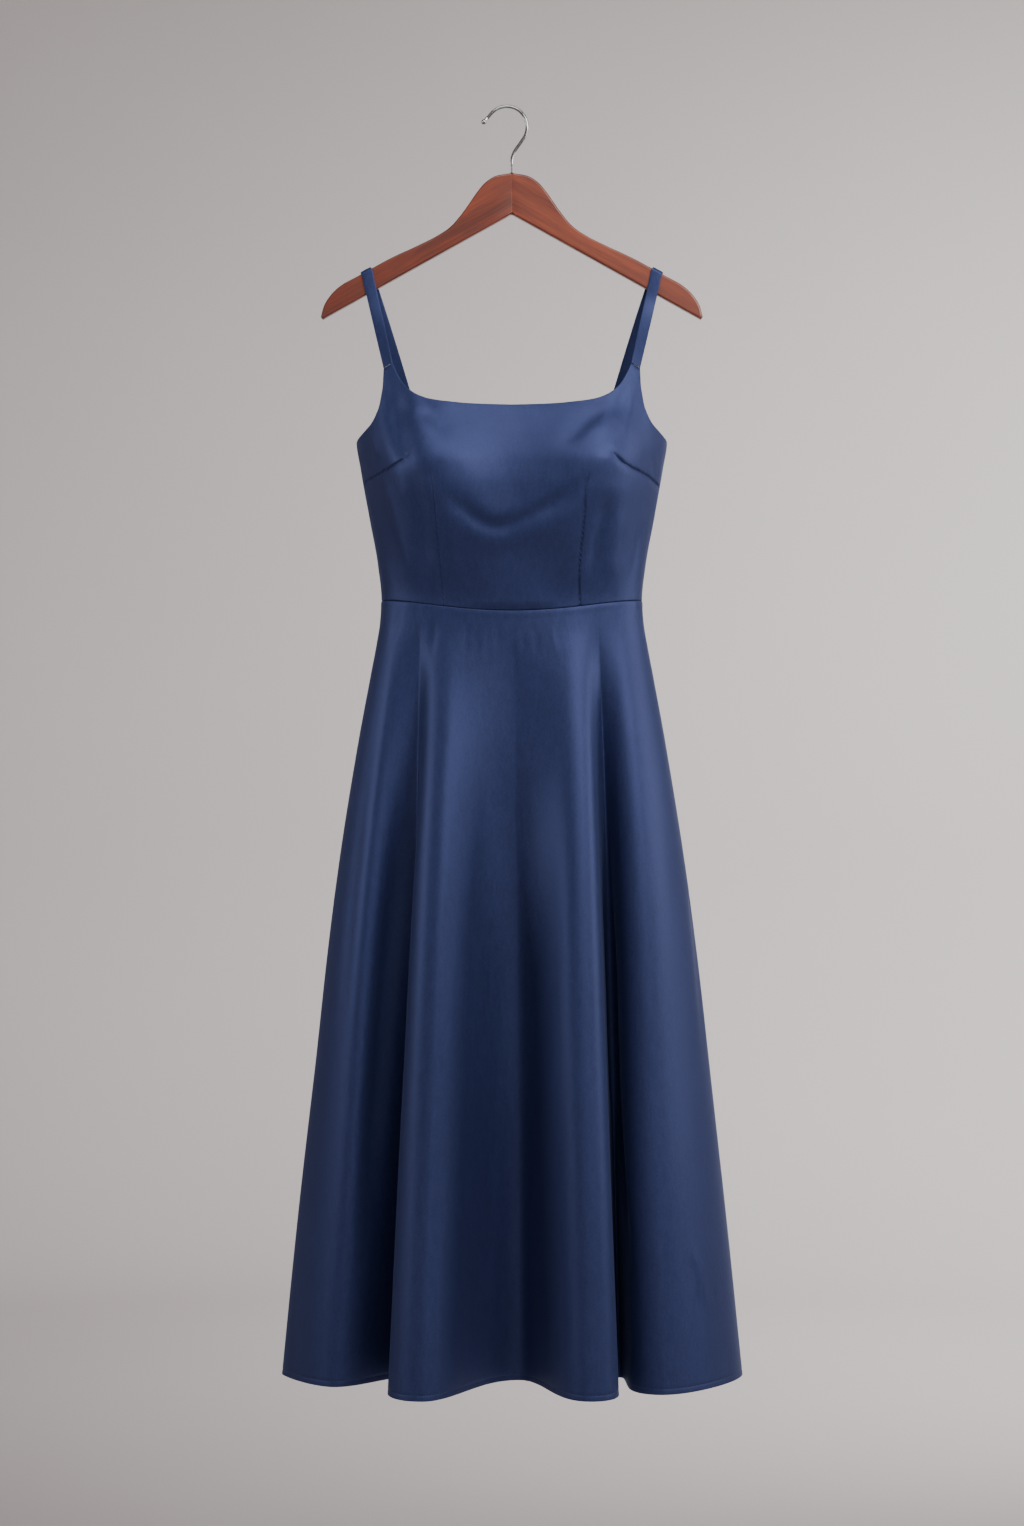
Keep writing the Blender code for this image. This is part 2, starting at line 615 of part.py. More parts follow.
def hook_line():
    """Centre line and radius of the hook's wire, from the ball to the end of the stem."""
    centre = (-STEM_X, -HOOK_RADIUS + WIRE_RADIUS)
    tip = (HOOK_TIP[0] - STEM_X, HOOK_TIP[1])
    line = []
    upper = (centre[0] + HOOK_RADIUS * math.cos(HOOK_UPPER_ANGLE),
             centre[1] + HOOK_RADIUS * math.sin(HOOK_UPPER_ANGLE))
    lead = math.hypot(upper[0] - tip[0], upper[1] - tip[1])
    for share in (-1.0, -0.92, -0.7, -0.35, 0.0, 0.4, 0.75):
        reach = share * BALL_RADIUS / lead
        size = math.sqrt(max(1.0 - share ** 2, 0.0)) * BALL_RADIUS
        wire = WIRE_RADIUS if share > 0.0 else 0.0
        point = (tip[0] + (upper[0] - tip[0]) * reach, tip[1] + (upper[1] - tip[1]) * reach)
        line.append((point[0], point[1], max(size, wire, 0.05 * MM)))
    line.append((tip[0] + (upper[0] - tip[0]) * 0.55, tip[1] + (upper[1] - tip[1]) * 0.55, WIRE_RADIUS))
    for angle in np.linspace(HOOK_UPPER_ANGLE, HOOK_LOWER_ANGLE, 19):
        line.append((centre[0] + HOOK_RADIUS * math.cos(angle), centre[1] + HOOK_RADIUS * math.sin(angle), WIRE_RADIUS))
    start = np.array(line[-1][:2])
    fall = np.array([math.sin(HOOK_LOWER_ANGLE), -math.cos(HOOK_LOWER_ANGLE)])
    bend = start + fall * (start[0] / -fall[0])
    upper_end = start + fall * ((STEM_BEND_TOP - start[1]) / fall[1])
    lower_end = np.array([0.0, STEM_BEND_END])
    line.append((upper_end[0], upper_end[1], WIRE_RADIUS))
    for part in (0.2, 0.4, 0.6, 0.8, 1.0):
        point = upper_end * (1.0 - part) ** 2 + 2.0 * bend * part * (1.0 - part) + lower_end * part ** 2
        line.append((point[0], point[1], WIRE_RADIUS))
    line.append((0.0, STEM_END, WIRE_RADIUS))
    return line


def make_hook(parent):
    """The wire hook."""
    line = hook_line()
    curve = bpy.data.curves.new("hanger_hook", "CURVE")
    curve.dimensions = "3D"
    curve.bevel_depth = WIRE_RADIUS
    curve.bevel_resolution = 3
    curve.use_fill_caps = True
    spline = curve.splines.new("POLY")
    spline.points.add(len(line) - 1)
    for point, (x, z, radius) in zip(spline.points, line):
        point.co = (x, 0.0, z, 1.0)
        point.radius = radius / WIRE_RADIUS
    spline.use_smooth = True
    return place("hanger_hook", curve, parent, look_name="chrome")


def centre_back_depth(height):
    """Depth of the cloth's outer face at the centre back, on the bodice or the skirt."""
    seam = float(waist_height(0.0))
    if height >= seam:
        return float(bodice_depth(0.0, height, BACK))
    drop = (seam - height) / (seam - HEM_HEIGHT)
    spread = float(spread_at(drop))
    return (1.0 - spread) * float(bodice_depth(0.0, seam, BACK)) + spread * BACK_LEFT_FOLDS[-1].depth * MM


def make_tape(parent):
    """The zip's tape, flat behind the centre back seam."""
    half = TAPE_WIDTH / 2.0
    seam = float(waist_height(0.0))
    above = np.linspace(ZIP_TOP, seam, TAPE_ROWS_ABOVE)
    below = np.linspace(seam, ZIP_END, TAPE_ROWS_BELOW)[1:]
    sections = []
    for height in np.concatenate([above, below]):
        outer = centre_back_depth(height) - WALL - SEAM - TAPE_SAG
        inner = outer - TAPE_THICKNESS
        sections.append([(-half, outer, height), (half, outer, height), (half, inner, height), (-half, inner, height)])
    return ribbon("zip_tape", sections, parent)


def add_box(shape, size, centre):
    """A box in a bmesh."""
    made = bmesh.ops.create_cube(shape, size=1.0)
    bmesh.ops.scale(shape, verts=made["verts"], vec=size)
    bmesh.ops.translate(shape, verts=made["verts"], vec=centre)
    return made["verts"]


def add_rod(shape, radius, length, centre, sides):
    """A rod along X in a bmesh."""
    made = bmesh.ops.create_cone(shape, cap_ends=True, segments=sides, radius1=radius, radius2=radius, depth=length)
    lay = Matrix.Rotation(math.pi / 2.0, 3, "Y")
    bmesh.ops.rotate(shape, verts=made["verts"], cent=(0.0, 0.0, 0.0), matrix=lay)
    bmesh.ops.translate(shape, verts=made["verts"], vec=centre)
    return made["verts"]


def mesh_object(name, shape, parent, location, look_name=None):
    """An object from a bmesh."""
    mesh = bpy.data.meshes.new(name)
    shape.to_mesh(mesh)
    shape.free()
    return place(name, mesh, parent, location, look_name)


def make_cutter(name, shape, parent, location):
    """A solid that only shapes its neighbour."""
    item = mesh_object(name, shape, parent, location)
    item.hide_render = True
    item.display_type = "WIRE"
    return item


def add_boolean(item, operation, other):
    """A Boolean modifier."""
    step = item.modifiers.new(other.name, "BOOLEAN")
    step.operation = operation
    step.object = other


def make_zip(parent):
    """The zip's tape, its slider at the top and the pull tab on the slider's pin."""
    make_tape(parent)
    width, thickness, height = SLIDER_SIZE
    middle = ZIP_TOP - height / 2.0
    face = max(centre_back_depth(level) for level in np.linspace(ZIP_TOP, ZIP_TOP - height, 5)) + SEAM
    pin = Vector((0.0, face + thickness + PIN_STAND_OFF, middle + height / 5.0))

    body = bmesh.new()
    add_box(body, SLIDER_SIZE, (0.0, face + thickness / 2.0 - pin.y, middle - pin.z))
    bmesh.ops.bevel(body, geom=body.edges[:], offset=SLIDER_BEVEL, segments=1, affect="EDGES")
    slider = mesh_object("zip_slider", body, parent, pin, "navy_metal")
    for index, sign in enumerate((-1.0, 1.0)):
        ear = bmesh.new()
        x = sign * (EAR_GAP + EAR_WIDTH) / 2.0
        add_box(ear, (EAR_WIDTH, PIN_STAND_OFF + SLIDER_BEVEL, 2.0 * EAR_RADIUS),
                (x, -(PIN_STAND_OFF + SLIDER_BEVEL) / 2.0, 0.0))
        add_boolean(slider, "UNION", make_cutter(f"slider_ear_{index}", ear, parent, pin))
        cheek = bmesh.new()
        add_rod(cheek, EAR_RADIUS, EAR_WIDTH, (x, 0.0, 0.0), 12)
        add_boolean(slider, "UNION", make_cutter(f"slider_cheek_{index}", cheek, parent, pin))
    rod = bmesh.new()
    add_rod(rod, PIN_RADIUS, EAR_GAP + EAR_WIDTH, (0.0, 0.0, 0.0), 10)
    add_boolean(slider, "UNION", make_cutter("slider_pin", rod, parent, pin))

    outline = [(row.half_width * MM, -row.below * MM) for row in PULL_OUTLINE]
    outline += [(-x, z) for x, z in reversed(outline)]
    plate = bmesh.new()
    face = plate.faces.new([plate.verts.new((x, -PULL_THICKNESS / 2.0, z)) for x, z in outline])
    grown = bmesh.ops.extrude_face_region(plate, geom=[face])
    moved = [item for item in grown["geom"] if isinstance(item, bmesh.types.BMVert)]
    bmesh.ops.translate(plate, verts=moved, vec=(0.0, PULL_THICKNESS, 0.0))
    bmesh.ops.recalc_face_normals(plate, faces=plate.faces)
    pull = mesh_object("zip_pull", plate, parent, pin, "navy_metal")
    barrel = bmesh.new()
    add_rod(barrel, BARREL_RADIUS, PULL_EYE_WIDTH, (0.0, 0.0, 0.0), 14)
    add_boolean(pull, "UNION", make_cutter("pull_barrel", barrel, parent, pin))
    bore = bmesh.new()
    add_rod(bore, BARREL_BORE, PULL_EYE_WIDTH * 1.5, (0.0, 0.0, 0.0), 12)
    add_boolean(pull, "DIFFERENCE", make_cutter("pull_bore", bore, parent, pin))


def main():
    """Build the dress and its hanger."""
    clear_scene()
    centre = place("dress_centre", None, None, (STEM_X, 0.0, 0.0))
    make_bodice(centre)
    make_skirt_panel("skirt_front", FRONT_FOLDS, FRONT, centre)
    make_skirt_panel("skirt_back_left", BACK_LEFT_FOLDS, BACK, centre)
    make_skirt_panel("skirt_back_right", BACK_RIGHT_FOLDS, BACK, centre)
    make_strap("strap_left", -1.0, centre)
    make_strap("strap_right", 1.0, centre)
    make_zip(centre)
    bore = make_bore(centre)
    make_arm("hanger_arm_left", -1.0, bore, centre)
    make_arm("hanger_arm_right", 1.0, bore, centre)
    make_hook(centre)


main()
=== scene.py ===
"""Finishes, creases and sewing of a satin midi dress on a wooden hanger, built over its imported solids.

Metres, +Z up, the front of the dress facing -Y, the origin at the inner top of the hook. The tables are in
millimetres, measured from the plane of the side seams and from the dress's own centre line.
"""

import logging
import math
from dataclasses import dataclass
from enum import Enum
from typing import NamedTuple, Sequence

import bmesh
import bpy
import numpy as np
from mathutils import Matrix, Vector
from mathutils.geometry import delaunay_2d_cdt


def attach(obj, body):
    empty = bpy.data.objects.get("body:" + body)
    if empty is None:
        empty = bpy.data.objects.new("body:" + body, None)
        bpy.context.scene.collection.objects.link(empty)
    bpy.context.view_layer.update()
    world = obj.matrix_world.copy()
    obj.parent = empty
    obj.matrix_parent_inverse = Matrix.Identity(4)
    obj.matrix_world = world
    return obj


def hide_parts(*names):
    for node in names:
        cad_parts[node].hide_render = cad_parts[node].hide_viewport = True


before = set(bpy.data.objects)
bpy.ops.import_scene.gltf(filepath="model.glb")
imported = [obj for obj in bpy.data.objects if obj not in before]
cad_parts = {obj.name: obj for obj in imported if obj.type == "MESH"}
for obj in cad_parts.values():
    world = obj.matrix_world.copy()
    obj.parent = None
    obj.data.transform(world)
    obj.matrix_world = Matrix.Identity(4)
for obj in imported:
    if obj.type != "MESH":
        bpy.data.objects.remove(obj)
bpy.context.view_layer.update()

MM = 0.001
CENTRE_X = 5.8 * MM
GARMENT = "garment"
CLOTH_EDGE = 62.0
Colour = tuple[float, float, float]
Array = np.ndarray
Faces = list[tuple[int, ...]]
Socket = bpy.types.NodeSocket
Material = bpy.types.Material
Piece = bpy.types.Object
log = logging.getLogger("dress")


class Side(Enum):
    """Which half of the dress a piece belongs to, by the sign of Y."""

    FRONT = -1.0
    BACK = 1.0


class Slot(Enum):
    """The record's material slots."""

    SATIN = "navy_satin"
    TAPE = "zip_tape"
    METAL = "navy_metal"
    WOOD = "cherry_wood"
    CHROME = "chrome"


class Section(NamedTuple):
    """A level section of the bodice: half its width, and its depth at four stations."""

    height: float
    half_width: float
    centre: float
    apex: float
    flank: float
    back: float


class EdgePoint(NamedTuple):
    """A point of a cut edge."""

    x: float
    height: float


class Fold(NamedTuple):
    """A fold of the hem seen from above."""

    name: str
    x: float
    depth: float
    heading: float
    reach_in: float
    reach_out: float
    waist: float


class Flare(NamedTuple):
    """How far a ring has moved from the waist ring to the hem ring."""

    drop: float
    spread: float


class Crease(NamedTuple):
    """A soft ridge along a line of (x, height) points, or a trough where its rise is negative."""

    name: str
    rise: float
    width: float
    line: tuple[tuple[float, float], ...]


class Ripple(NamedTuple):
    """A slow wave of the cloth: how high, how long across and down, where it starts and how it leans."""

    rise: float
    across: float
    down: float
    phase: float
    lean: float

    def wave(self, across: Array, down: Array | float) -> Array:
        """How far it lifts points at those lengths across and down the cloth."""
        turn = across / (self.across * MM) + down / (self.down * MM)
        return self.rise * MM * np.sin(2.0 * math.pi * turn + self.phase)


class Station(NamedTuple):
    """A point of the strap's centre line on the hanger."""

    x: float
    y: float
    z: float


def rows_of(kind: type, *rows: tuple) -> tuple:
    """A table's rows, with the columns that their kind names."""
    return tuple(kind(*row) for row in rows)


def smooth(places: Sequence[float], values: Sequence[float], where: Array) -> Array:
    """Interpolate without overshoot.

    Args:
        places: where the values are given.
        values: the values there.
        where: where they are wanted.

    Returns:
        The values of a cubic that passes through the given ones and never overshoots them.
    """
    order = np.argsort(places)
    xs = np.asarray(places, float)[order]
    ys = np.asarray(values, float)[order]
    step = np.diff(xs)
    rise = np.diff(ys) / step
    slope = np.zeros_like(xs)
    slope[0] = rise[0]
    slope[-1] = rise[-1]
    left = 2.0 * step[1:] + step[:-1]
    right = step[1:] + 2.0 * step[:-1]
    same = rise[1:] * rise[:-1] > 0.0
    inner = np.zeros_like(rise[1:])
    inner[same] = (left + right)[same] / (left[same] / rise[:-1][same] + right[same] / rise[1:][same])
    slope[1:-1] = inner
    where = np.clip(where, xs[0], xs[-1])
    index = np.clip(np.searchsorted(xs, where, side="right") - 1, 0, len(step) - 1)
    span = step[index]
    part = (where - xs[index]) / span
    rest = 1.0 - part
    low = ys[index] * (1.0 + 2.0 * part) * rest ** 2 + slope[index] * span * part * rest ** 2
    high = ys[index + 1] * part ** 2 * (3.0 - 2.0 * part) + slope[index + 1] * span * part ** 2 * (part - 1.0)
    return low + high


def arc_length(points: Array) -> Array:
    """Length along a line of points at each of them."""
    return np.concatenate([[0.0], np.cumsum(np.linalg.norm(np.diff(points, axis=0), axis=1))])


def resample(points: Sequence[Sequence[float]], step: float) -> Array:
    """Space points evenly on a smooth curve.

    Args:
        points: the points that the curve passes through.
        step: about how far apart the new ones are.

    Returns:
        The new points, one a row.
    """
    points = np.asarray(points, float)
    chord = arc_length(points)
    fine = np.linspace(0.0, chord[-1], max(400, 6 * len(points)))
    curve = np.column_stack([smooth(chord, points[:, axis], fine) for axis in range(points.shape[1])])
    length = arc_length(curve)
    wanted = np.linspace(0.0, length[-1], max(1, round(length[-1] / step)) + 1)
    return along_line(curve, length, wanted)


def along_line(line: Array, length: Array, where: Array) -> Array:
    """Points of a line at given lengths along it."""
    return np.column_stack([np.interp(where, length, line[:, axis]) for axis in range(line.shape[1])])


def rolled(gap: Array, radius: float) -> Array:
    """How far a turned edge has rolled in, at a distance of gap from it."""
    share = np.clip(1.0 - gap / radius, 0.0, 1.0)
    return radius * (1.0 - np.sqrt(1.0 - share ** 2))


def fade(part: Array, ends: float) -> Array:
    """A soft start and finish along a crease, from 0 at both ends to 1 in between."""
    near = np.clip(np.minimum(part, 1.0 - part) / ends, 0.0, 1.0)
    return near * near * (3.0 - 2.0 * near)


@dataclass(frozen=True)
class BodiceForm:
    """The bodice's outer form, from level sections."""

    sections: tuple[Section, ...] = rows_of(Section,
        (-586, 150, 61, 53, 31.5, 52),
        (-568, 150, 63, 55, 32.5, 52),
        (-526, 154.3, 74, 69, 38, 58),
        (-472, 164, 90, 88, 46, 66),
        (-440, 169.9, 90, 96, 51, 69),
        (-415, 174.3, 87, 98, 52.5, 70),
        (-383, 179, 78, 88, 50, 68),
        (-350, 179, 66.5, 72, 46, 62),
        (-300, 179, 58, 58, 40, 50),
    )
    apex_angle: float = math.radians(31.0)
    flank_angle: float = math.radians(60.0)
    waist: float = -567.6 * MM
    waist_dip: float = 13.7 * MM
    waist_power: float = 3.2
    seam_half: float = 0.1 * MM

    def column(self, name: str, height: Array) -> Array:
        """One column of the sections at any height, in metres."""
        return smooth([row.height * MM for row in self.sections],
                      [getattr(row, name) * MM for row in self.sections], height)

    def depth(self, angle: Array, height: Array, side: Side) -> Array:
        """Measure the form's depth.

        Args:
            angle: the place around the body, 0 at the centre and a quarter turn at a side seam.
            height: the level.
            side: front or back.

        Returns:
            How far the outer face stands out from the plane of the side seams.
        """
        level = np.cos(angle)
        if side is Side.BACK:
            return np.maximum(level * self.column("back", height), self.seam_half)
        sine = np.sin(angle) ** 2
        apex = math.sin(self.apex_angle) ** 2
        flank = math.sin(self.flank_angle) ** 2
        centre = self.column("centre", height)
        at_apex = self.column("apex", height) / math.cos(self.apex_angle) - centre
        at_flank = self.column("flank", height) / math.cos(self.flank_angle) - centre
        bend = (at_flank / flank - at_apex / apex) / (flank - apex)
        swell = at_apex / apex - bend * apex
        return np.maximum(level * (centre + swell * sine + bend * sine ** 2), self.seam_half)

    def point(self, angle: Array, height: Array, side: Side) -> Array:
        """Points of the outer face."""
        x = self.column("half_width", height) * np.sin(angle)
        return np.column_stack([x, side.value * self.depth(angle, height, side), height])

    def normal(self, angle: Array, height: Array, side: Side) -> Array:
        """Directions that point out of the outer face."""
        turn = 0.004
        lift = 1.0 * MM
        inner = np.clip(angle, -math.pi / 2.0 + 2.0 * turn, math.pi / 2.0 - 2.0 * turn)
        across = self.point(inner + turn, height, side) - self.point(inner - turn, height, side)
        upward = self.point(inner, height + lift, side) - self.point(inner, height - lift, side)
        outward = np.cross(across, upward) * -side.value
        return outward / np.linalg.norm(outward, axis=1, keepdims=True)

    def waist_height(self, angle: Array) -> Array:
        """The waist seam's height around the body."""
        return self.waist - self.waist_dip * np.abs(np.cos(angle)) ** self.waist_power

    def angle_of(self, x: Array, height: Array) -> Array:
        """The place around the body of a point seen from the front."""
        return np.arcsin(np.clip(x / self.column("half_width", height), -1.0, 1.0))


@dataclass(frozen=True)
class SkirtForm:
    """The skirt's outer form, from the waist ring to the folds of the hem ring."""

    bodice: BodiceForm
    hem: float = -1458.0 * MM
    flare: tuple[Flare, ...] = rows_of(Flare,
        (0, 0), (0.03, 0.017), (0.05, 0.042), (0.095, 0.107), (0.185, 0.237),
        (0.32, 0.407), (0.46, 0.55), (0.6, 0.667), (0.77, 0.815), (1, 1),
    )
    span_samples: int = 90

    def hem_ring(self, folds: Sequence[Fold], side: Side) -> tuple[Array, Array]:
        """Draw the hem seen from above.

        Args:
            folds: its folds from left to right.
            side: front or back.

        Returns:
            Fine points of the hem, and the share of the waist that each hangs from.
        """
        points: list[Array] = []
        spans: list[int] = []
        for start, end in zip(folds, folds[1:]):
            out = math.radians(start.heading)
            into = math.radians(end.heading)
            corners = np.array([
                (start.x, start.depth),
                (start.x + start.reach_out * math.cos(out), start.depth + start.reach_out * math.sin(out)),
                (end.x - end.reach_in * math.cos(into), end.depth - end.reach_in * math.sin(into)),
                (end.x, end.depth),
            ]) * MM
            part = np.linspace(0.0, 1.0, self.span_samples + 1)[:, None]
            rest = 1.0 - part
            curve = (corners[0] * rest ** 3 + 3.0 * corners[1] * rest ** 2 * part
                     + 3.0 * corners[2] * rest * part ** 2 + corners[3] * part ** 3)
            spans.append(len(points))
            points.extend(curve[:-1] if end is not folds[-1] else curve)
        spans.append(len(points) - 1)
        plan = np.array(points) * np.array([1.0, side.value])
        length = arc_length(plan)
        return plan, smooth(length[spans], [fold.waist for fold in folds], length)

    def waist_ring(self, share: Array, side: Side) -> tuple[Array, Array]:
        """Plan points of the waist ring and its height, at shares of its length."""
        angles = np.linspace(-math.pi / 2.0, math.pi / 2.0, 1441)
        ring = self.bodice.point(angles, self.bodice.waist_height(angles), side)
        length = arc_length(ring[:, :2])
        angle = np.interp(share * length[-1], length, angles)
        height = self.bodice.waist_height(angle)
        return self.bodice.point(angle, height, side)[:, :2], height

    def spread(self, drop: Array) -> Array:
        """How far rings have moved from the waist ring to the hem ring."""
        return smooth([row.drop for row in self.flare], [row.spread for row in self.flare], drop)


class Graph:
    """A material's node tree, with short calls to fill it."""

    def __init__(self, name: str) -> None:
        """Start a material whose only node beside its output is its shader."""
        self.material = bpy.data.materials.new(name)
        self.material.use_nodes = True
        self.tree = self.material.node_tree
        self.shader = self.tree.nodes["Principled BSDF"]

    def add(self, kind: str, inputs: dict | None = None, **settings: object) -> bpy.types.Node:
        """Add a node.

        Args:
            kind: the node's type, without its prefix.
            inputs: its sockets' values, or the sockets that feed them.
            settings: its own properties.

        Returns:
            The node.
        """
        node = self.tree.nodes.new("ShaderNode" + kind)
        for key, value in settings.items():
            setattr(node, key, value)
        for key, value in (inputs or {}).items():
            self.feed(node.inputs[key], value)
        return node

    def feed(self, socket: Socket, value: object) -> None:
        """Link a socket to another one, or give it a plain value."""
        if isinstance(value, Socket):
            self.tree.links.new(value, socket)
        else:
            socket.default_value = value

    def place(self, scale: Colour = (1.0, 1.0, 1.0), turn: Colour = (0.0, 0.0, 0.0)) -> Socket:
        """Places on the piece in its own metres, turned and scaled."""
        where = self.add("TexCoord")
        turned = self.add("Mapping", {"Vector": where.outputs["Object"], "Rotation": turn})
        scaled = self.add("Mapping", {"Vector": turned.outputs["Vector"], "Scale": scale})
        return scaled.outputs["Vector"]

    def noise(self, place: Socket, scale: float, detail: float = 2.0,
              rough: float = 0.5) -> Socket:
        """Soft irregular values around a half."""
        made = self.add("TexNoise", {"Vector": place, "Scale": scale, "Detail": detail, "Roughness": rough})
        return made.outputs["Fac"]

    def span(self, value: Socket, source: tuple[float, float],
             target: tuple[float, float]) -> Socket:
        """Carry a value from one range to another, held at its ends."""
        made = self.add("MapRange", {"Value": value, "From Min": source[0], "From Max": source[1],
                                     "To Min": target[0], "To Max": target[1]})
        return made.outputs["Result"]

    def mix(self, share: object, first: object, second: object) -> Socket:
        """Blend two colours."""
        made = self.add("Mix", data_type="RGBA")
        self.feed(made.inputs["Factor"], share)
        self.feed(made.inputs[6], (*first, 1.0) if isinstance(first, tuple) else first)
        self.feed(made.inputs[7], (*second, 1.0) if isinstance(second, tuple) else second)
        return made.outputs[2]

    def sum(self, *values: object) -> Socket:
        """Add up values, each times its weight, given as (value, weight)."""
        total: object = 0.0
        for value, weight in values:
            made = self.add("Math", operation="MULTIPLY_ADD")
            for socket, item in zip(made.inputs, (value, weight, total)):
                self.feed(socket, item)
            total = made.outputs[0]
        return total

    def bump(self, height: Socket, distance: float, strength: float = 1.0) -> None:
        """Give the shader a fine relief of that height."""
        made = self.add("Bump", {"Height": height, "Distance": distance, "Strength": strength})
        self.feed(self.shader.inputs["Normal"], made.outputs["Normal"])

    def set(self, **values: object) -> None:
        """Set the shader's sockets by name, with _ for each space."""
        for key, value in values.items():
            if isinstance(value, tuple):
                value = (*value, 1.0)
            self.feed(self.shader.inputs[key.replace("_", " ")], value)


@dataclass(frozen=True)
class SatinFinish:
    """Heavy satin: a smooth warp face with a fine thread grain and a soft coloured lustre."""

    name: str = "satin_cloth"
    deep: Colour = (0.0140, 0.0196, 0.066)
    light: Colour = (0.0270, 0.0357, 0.112)
    lustre: float = 0.50
    roughness: float = 0.52
    sheen: float = 0.06
    thread: float = 1500.0
    grain_height: float = 0.10 * MM

    def build(self) -> Material:
        """Make the material."""
        graph = Graph(self.name)
        threads = graph.noise(graph.place((1.0, 1.0, 0.22)), self.thread, 2.0, 0.6)
        picks = graph.noise(graph.place((0.3, 0.3, 1.0)), self.thread * 0.8, 1.0)
        cloud = graph.noise(graph.place((1.0, 1.0, 0.45)), 9.0, 3.0)
        slub = graph.noise(graph.place((1.0, 1.0, 0.3)), 240.0, 3.0, 0.65)
        shade = graph.sum((threads, 0.55), (cloud, 0.25), (slub, 0.35))
        graph.set(Base_Color=graph.mix(graph.span(shade, (0.38, 0.78), (0.0, 1.0)), self.deep, self.light),
                  Roughness=graph.span(slub, (0.25, 0.75), (self.roughness - 0.03, self.roughness + 0.03)),
                  Metallic=self.lustre, Sheen_Weight=self.sheen, Sheen_Roughness=0.45,
                  Sheen_Tint=(0.45, 0.55, 1.0), Specular_IOR_Level=0.5, Specular_Tint=(0.62, 0.70, 1.0))
        graph.bump(graph.sum((threads, 0.7), (picks, 0.3), (slub, 1.2)), self.grain_height)
        return graph.material


@dataclass(frozen=True)
class ThreadFinish:
    """Sewing thread or woven tape: matt, with a fine twist or rib."""

    name: str
    colour: Colour
    rib: float = 1800.0
    roughness: float = 0.72

    def build(self) -> Material:
        """Make the material."""
        graph = Graph(self.name)
        place = graph.place(turn=(0.0, 0.5, 0.0))
        twist = {"Vector": place, "Scale": self.rib / 6.0, "Distortion": 0.6, "Detail": 1.0}
        ribs = graph.add("TexWave", twist)
        fuzz = graph.noise(place, self.rib)
        darker = tuple(part * 0.7 for part in self.colour)
        shade = graph.sum((ribs.outputs["Fac"], 0.6), (fuzz, 0.4))
        graph.set(Base_Color=graph.mix(shade, darker, self.colour), Roughness=self.roughness,
                  Sheen_Weight=0.15)
        graph.bump(ribs.outputs["Fac"], 0.08 * MM)
        return graph.material


@dataclass(frozen=True)
class WoodFinish:
    """Red-brown hardwood with a fine straight grain along the arm, under a satin lacquer, blended near the
    arm's end towards the tip colour, which is painted shade on the left arm and painted light on the right
    one.
    """

    name: str
    slope: float
    early: Colour = (0.200, 0.034, 0.0105)
    late: Colour = (0.080, 0.012, 0.005)
    pore: Colour = (0.055, 0.013, 0.007)
    # tip: a painted shade colour for the arm's end, where less of the light from the right falls; the right
    # arm's copy is given a lighter one as painted light.
    tip: Colour = (0.080, 0.012, 0.006)
    roughness: float = 0.34
    lacquer: float = 0.35

    def build(self) -> Material:
        """Make the material."""
        graph = Graph(self.name)
        turn = (0.0, self.slope, 0.0)
        along = graph.place((0.06, 0.8, 1.0), turn)
        streaks = graph.noise(along, 420.0, 4.0, 0.55)
        bands = graph.noise(graph.place((0.05, 0.5, 1.0), turn), 90.0, 3.0, 0.5)
        pores = graph.noise(graph.place((0.035, 1.0, 1.0), turn), 1400.0, 1.0)
        colour = graph.mix(graph.span(graph.sum((streaks, 0.55), (bands, 0.6)), (0.42, 0.74), (0.0, 1.0)),
                           self.early, self.late)
        colour = graph.mix(graph.span(pores, (0.62, 0.74), (0.0, 0.55)), colour, self.pore)
        # Painted light and shade: the colour blends towards the tip colour as the arm reaches out from the
        # middle.
        where = graph.add("SeparateXYZ", {"Vector": graph.place()})
        reach = graph.add("Math", {0: where.outputs["X"]}, operation="ABSOLUTE")
        colour = graph.mix(graph.span(reach.outputs[0], (0.09, 0.22), (0.0, 0.6)), colour, self.tip)
        dull = graph.span(streaks, (0.3, 0.7), (self.roughness, self.roughness + 0.1))
        graph.set(Base_Color=colour, Roughness=dull, Coat_Weight=self.lacquer, Coat_Roughness=0.16)
        graph.bump(graph.sum((streaks, 0.5), (pores, -0.5)), 0.12 * MM)
        return graph.material


@dataclass(frozen=True)
class MetalFinish:
    """Plated or enamelled metal with a faint polish grain."""

    name: str
    colour: Colour
    roughness: float
    metallic: float = 1.0

    def build(self) -> Material:
        """Make the material."""
        graph = Graph(self.name)
        scuff = graph.noise(graph.place(), 900.0, 3.0)
        dim = tuple(part * 0.86 for part in self.colour)
        graph.set(Base_Color=graph.mix(scuff, dim, self.colour), Metallic=self.metallic,
                  Roughness=graph.span(scuff, (0.3, 0.7), (self.roughness * 0.8, self.roughness * 1.2)))
        graph.bump(scuff, 0.01 * MM)
        return graph.material


@dataclass(frozen=True)
class StudioFinish:
    """A plain painted surface of the studio."""

    name: str
    colour: Colour

    def build(self) -> Material:
        """Make the material."""
        graph = Graph(self.name)
        mottle = graph.noise(graph.place(), 1.4, 2.0)
        dim = tuple(part * 0.95 for part in self.colour)
        graph.set(Base_Color=graph.mix(mottle, dim, self.colour), Roughness=0.9, Specular_IOR_Level=0.1)
        return graph.material


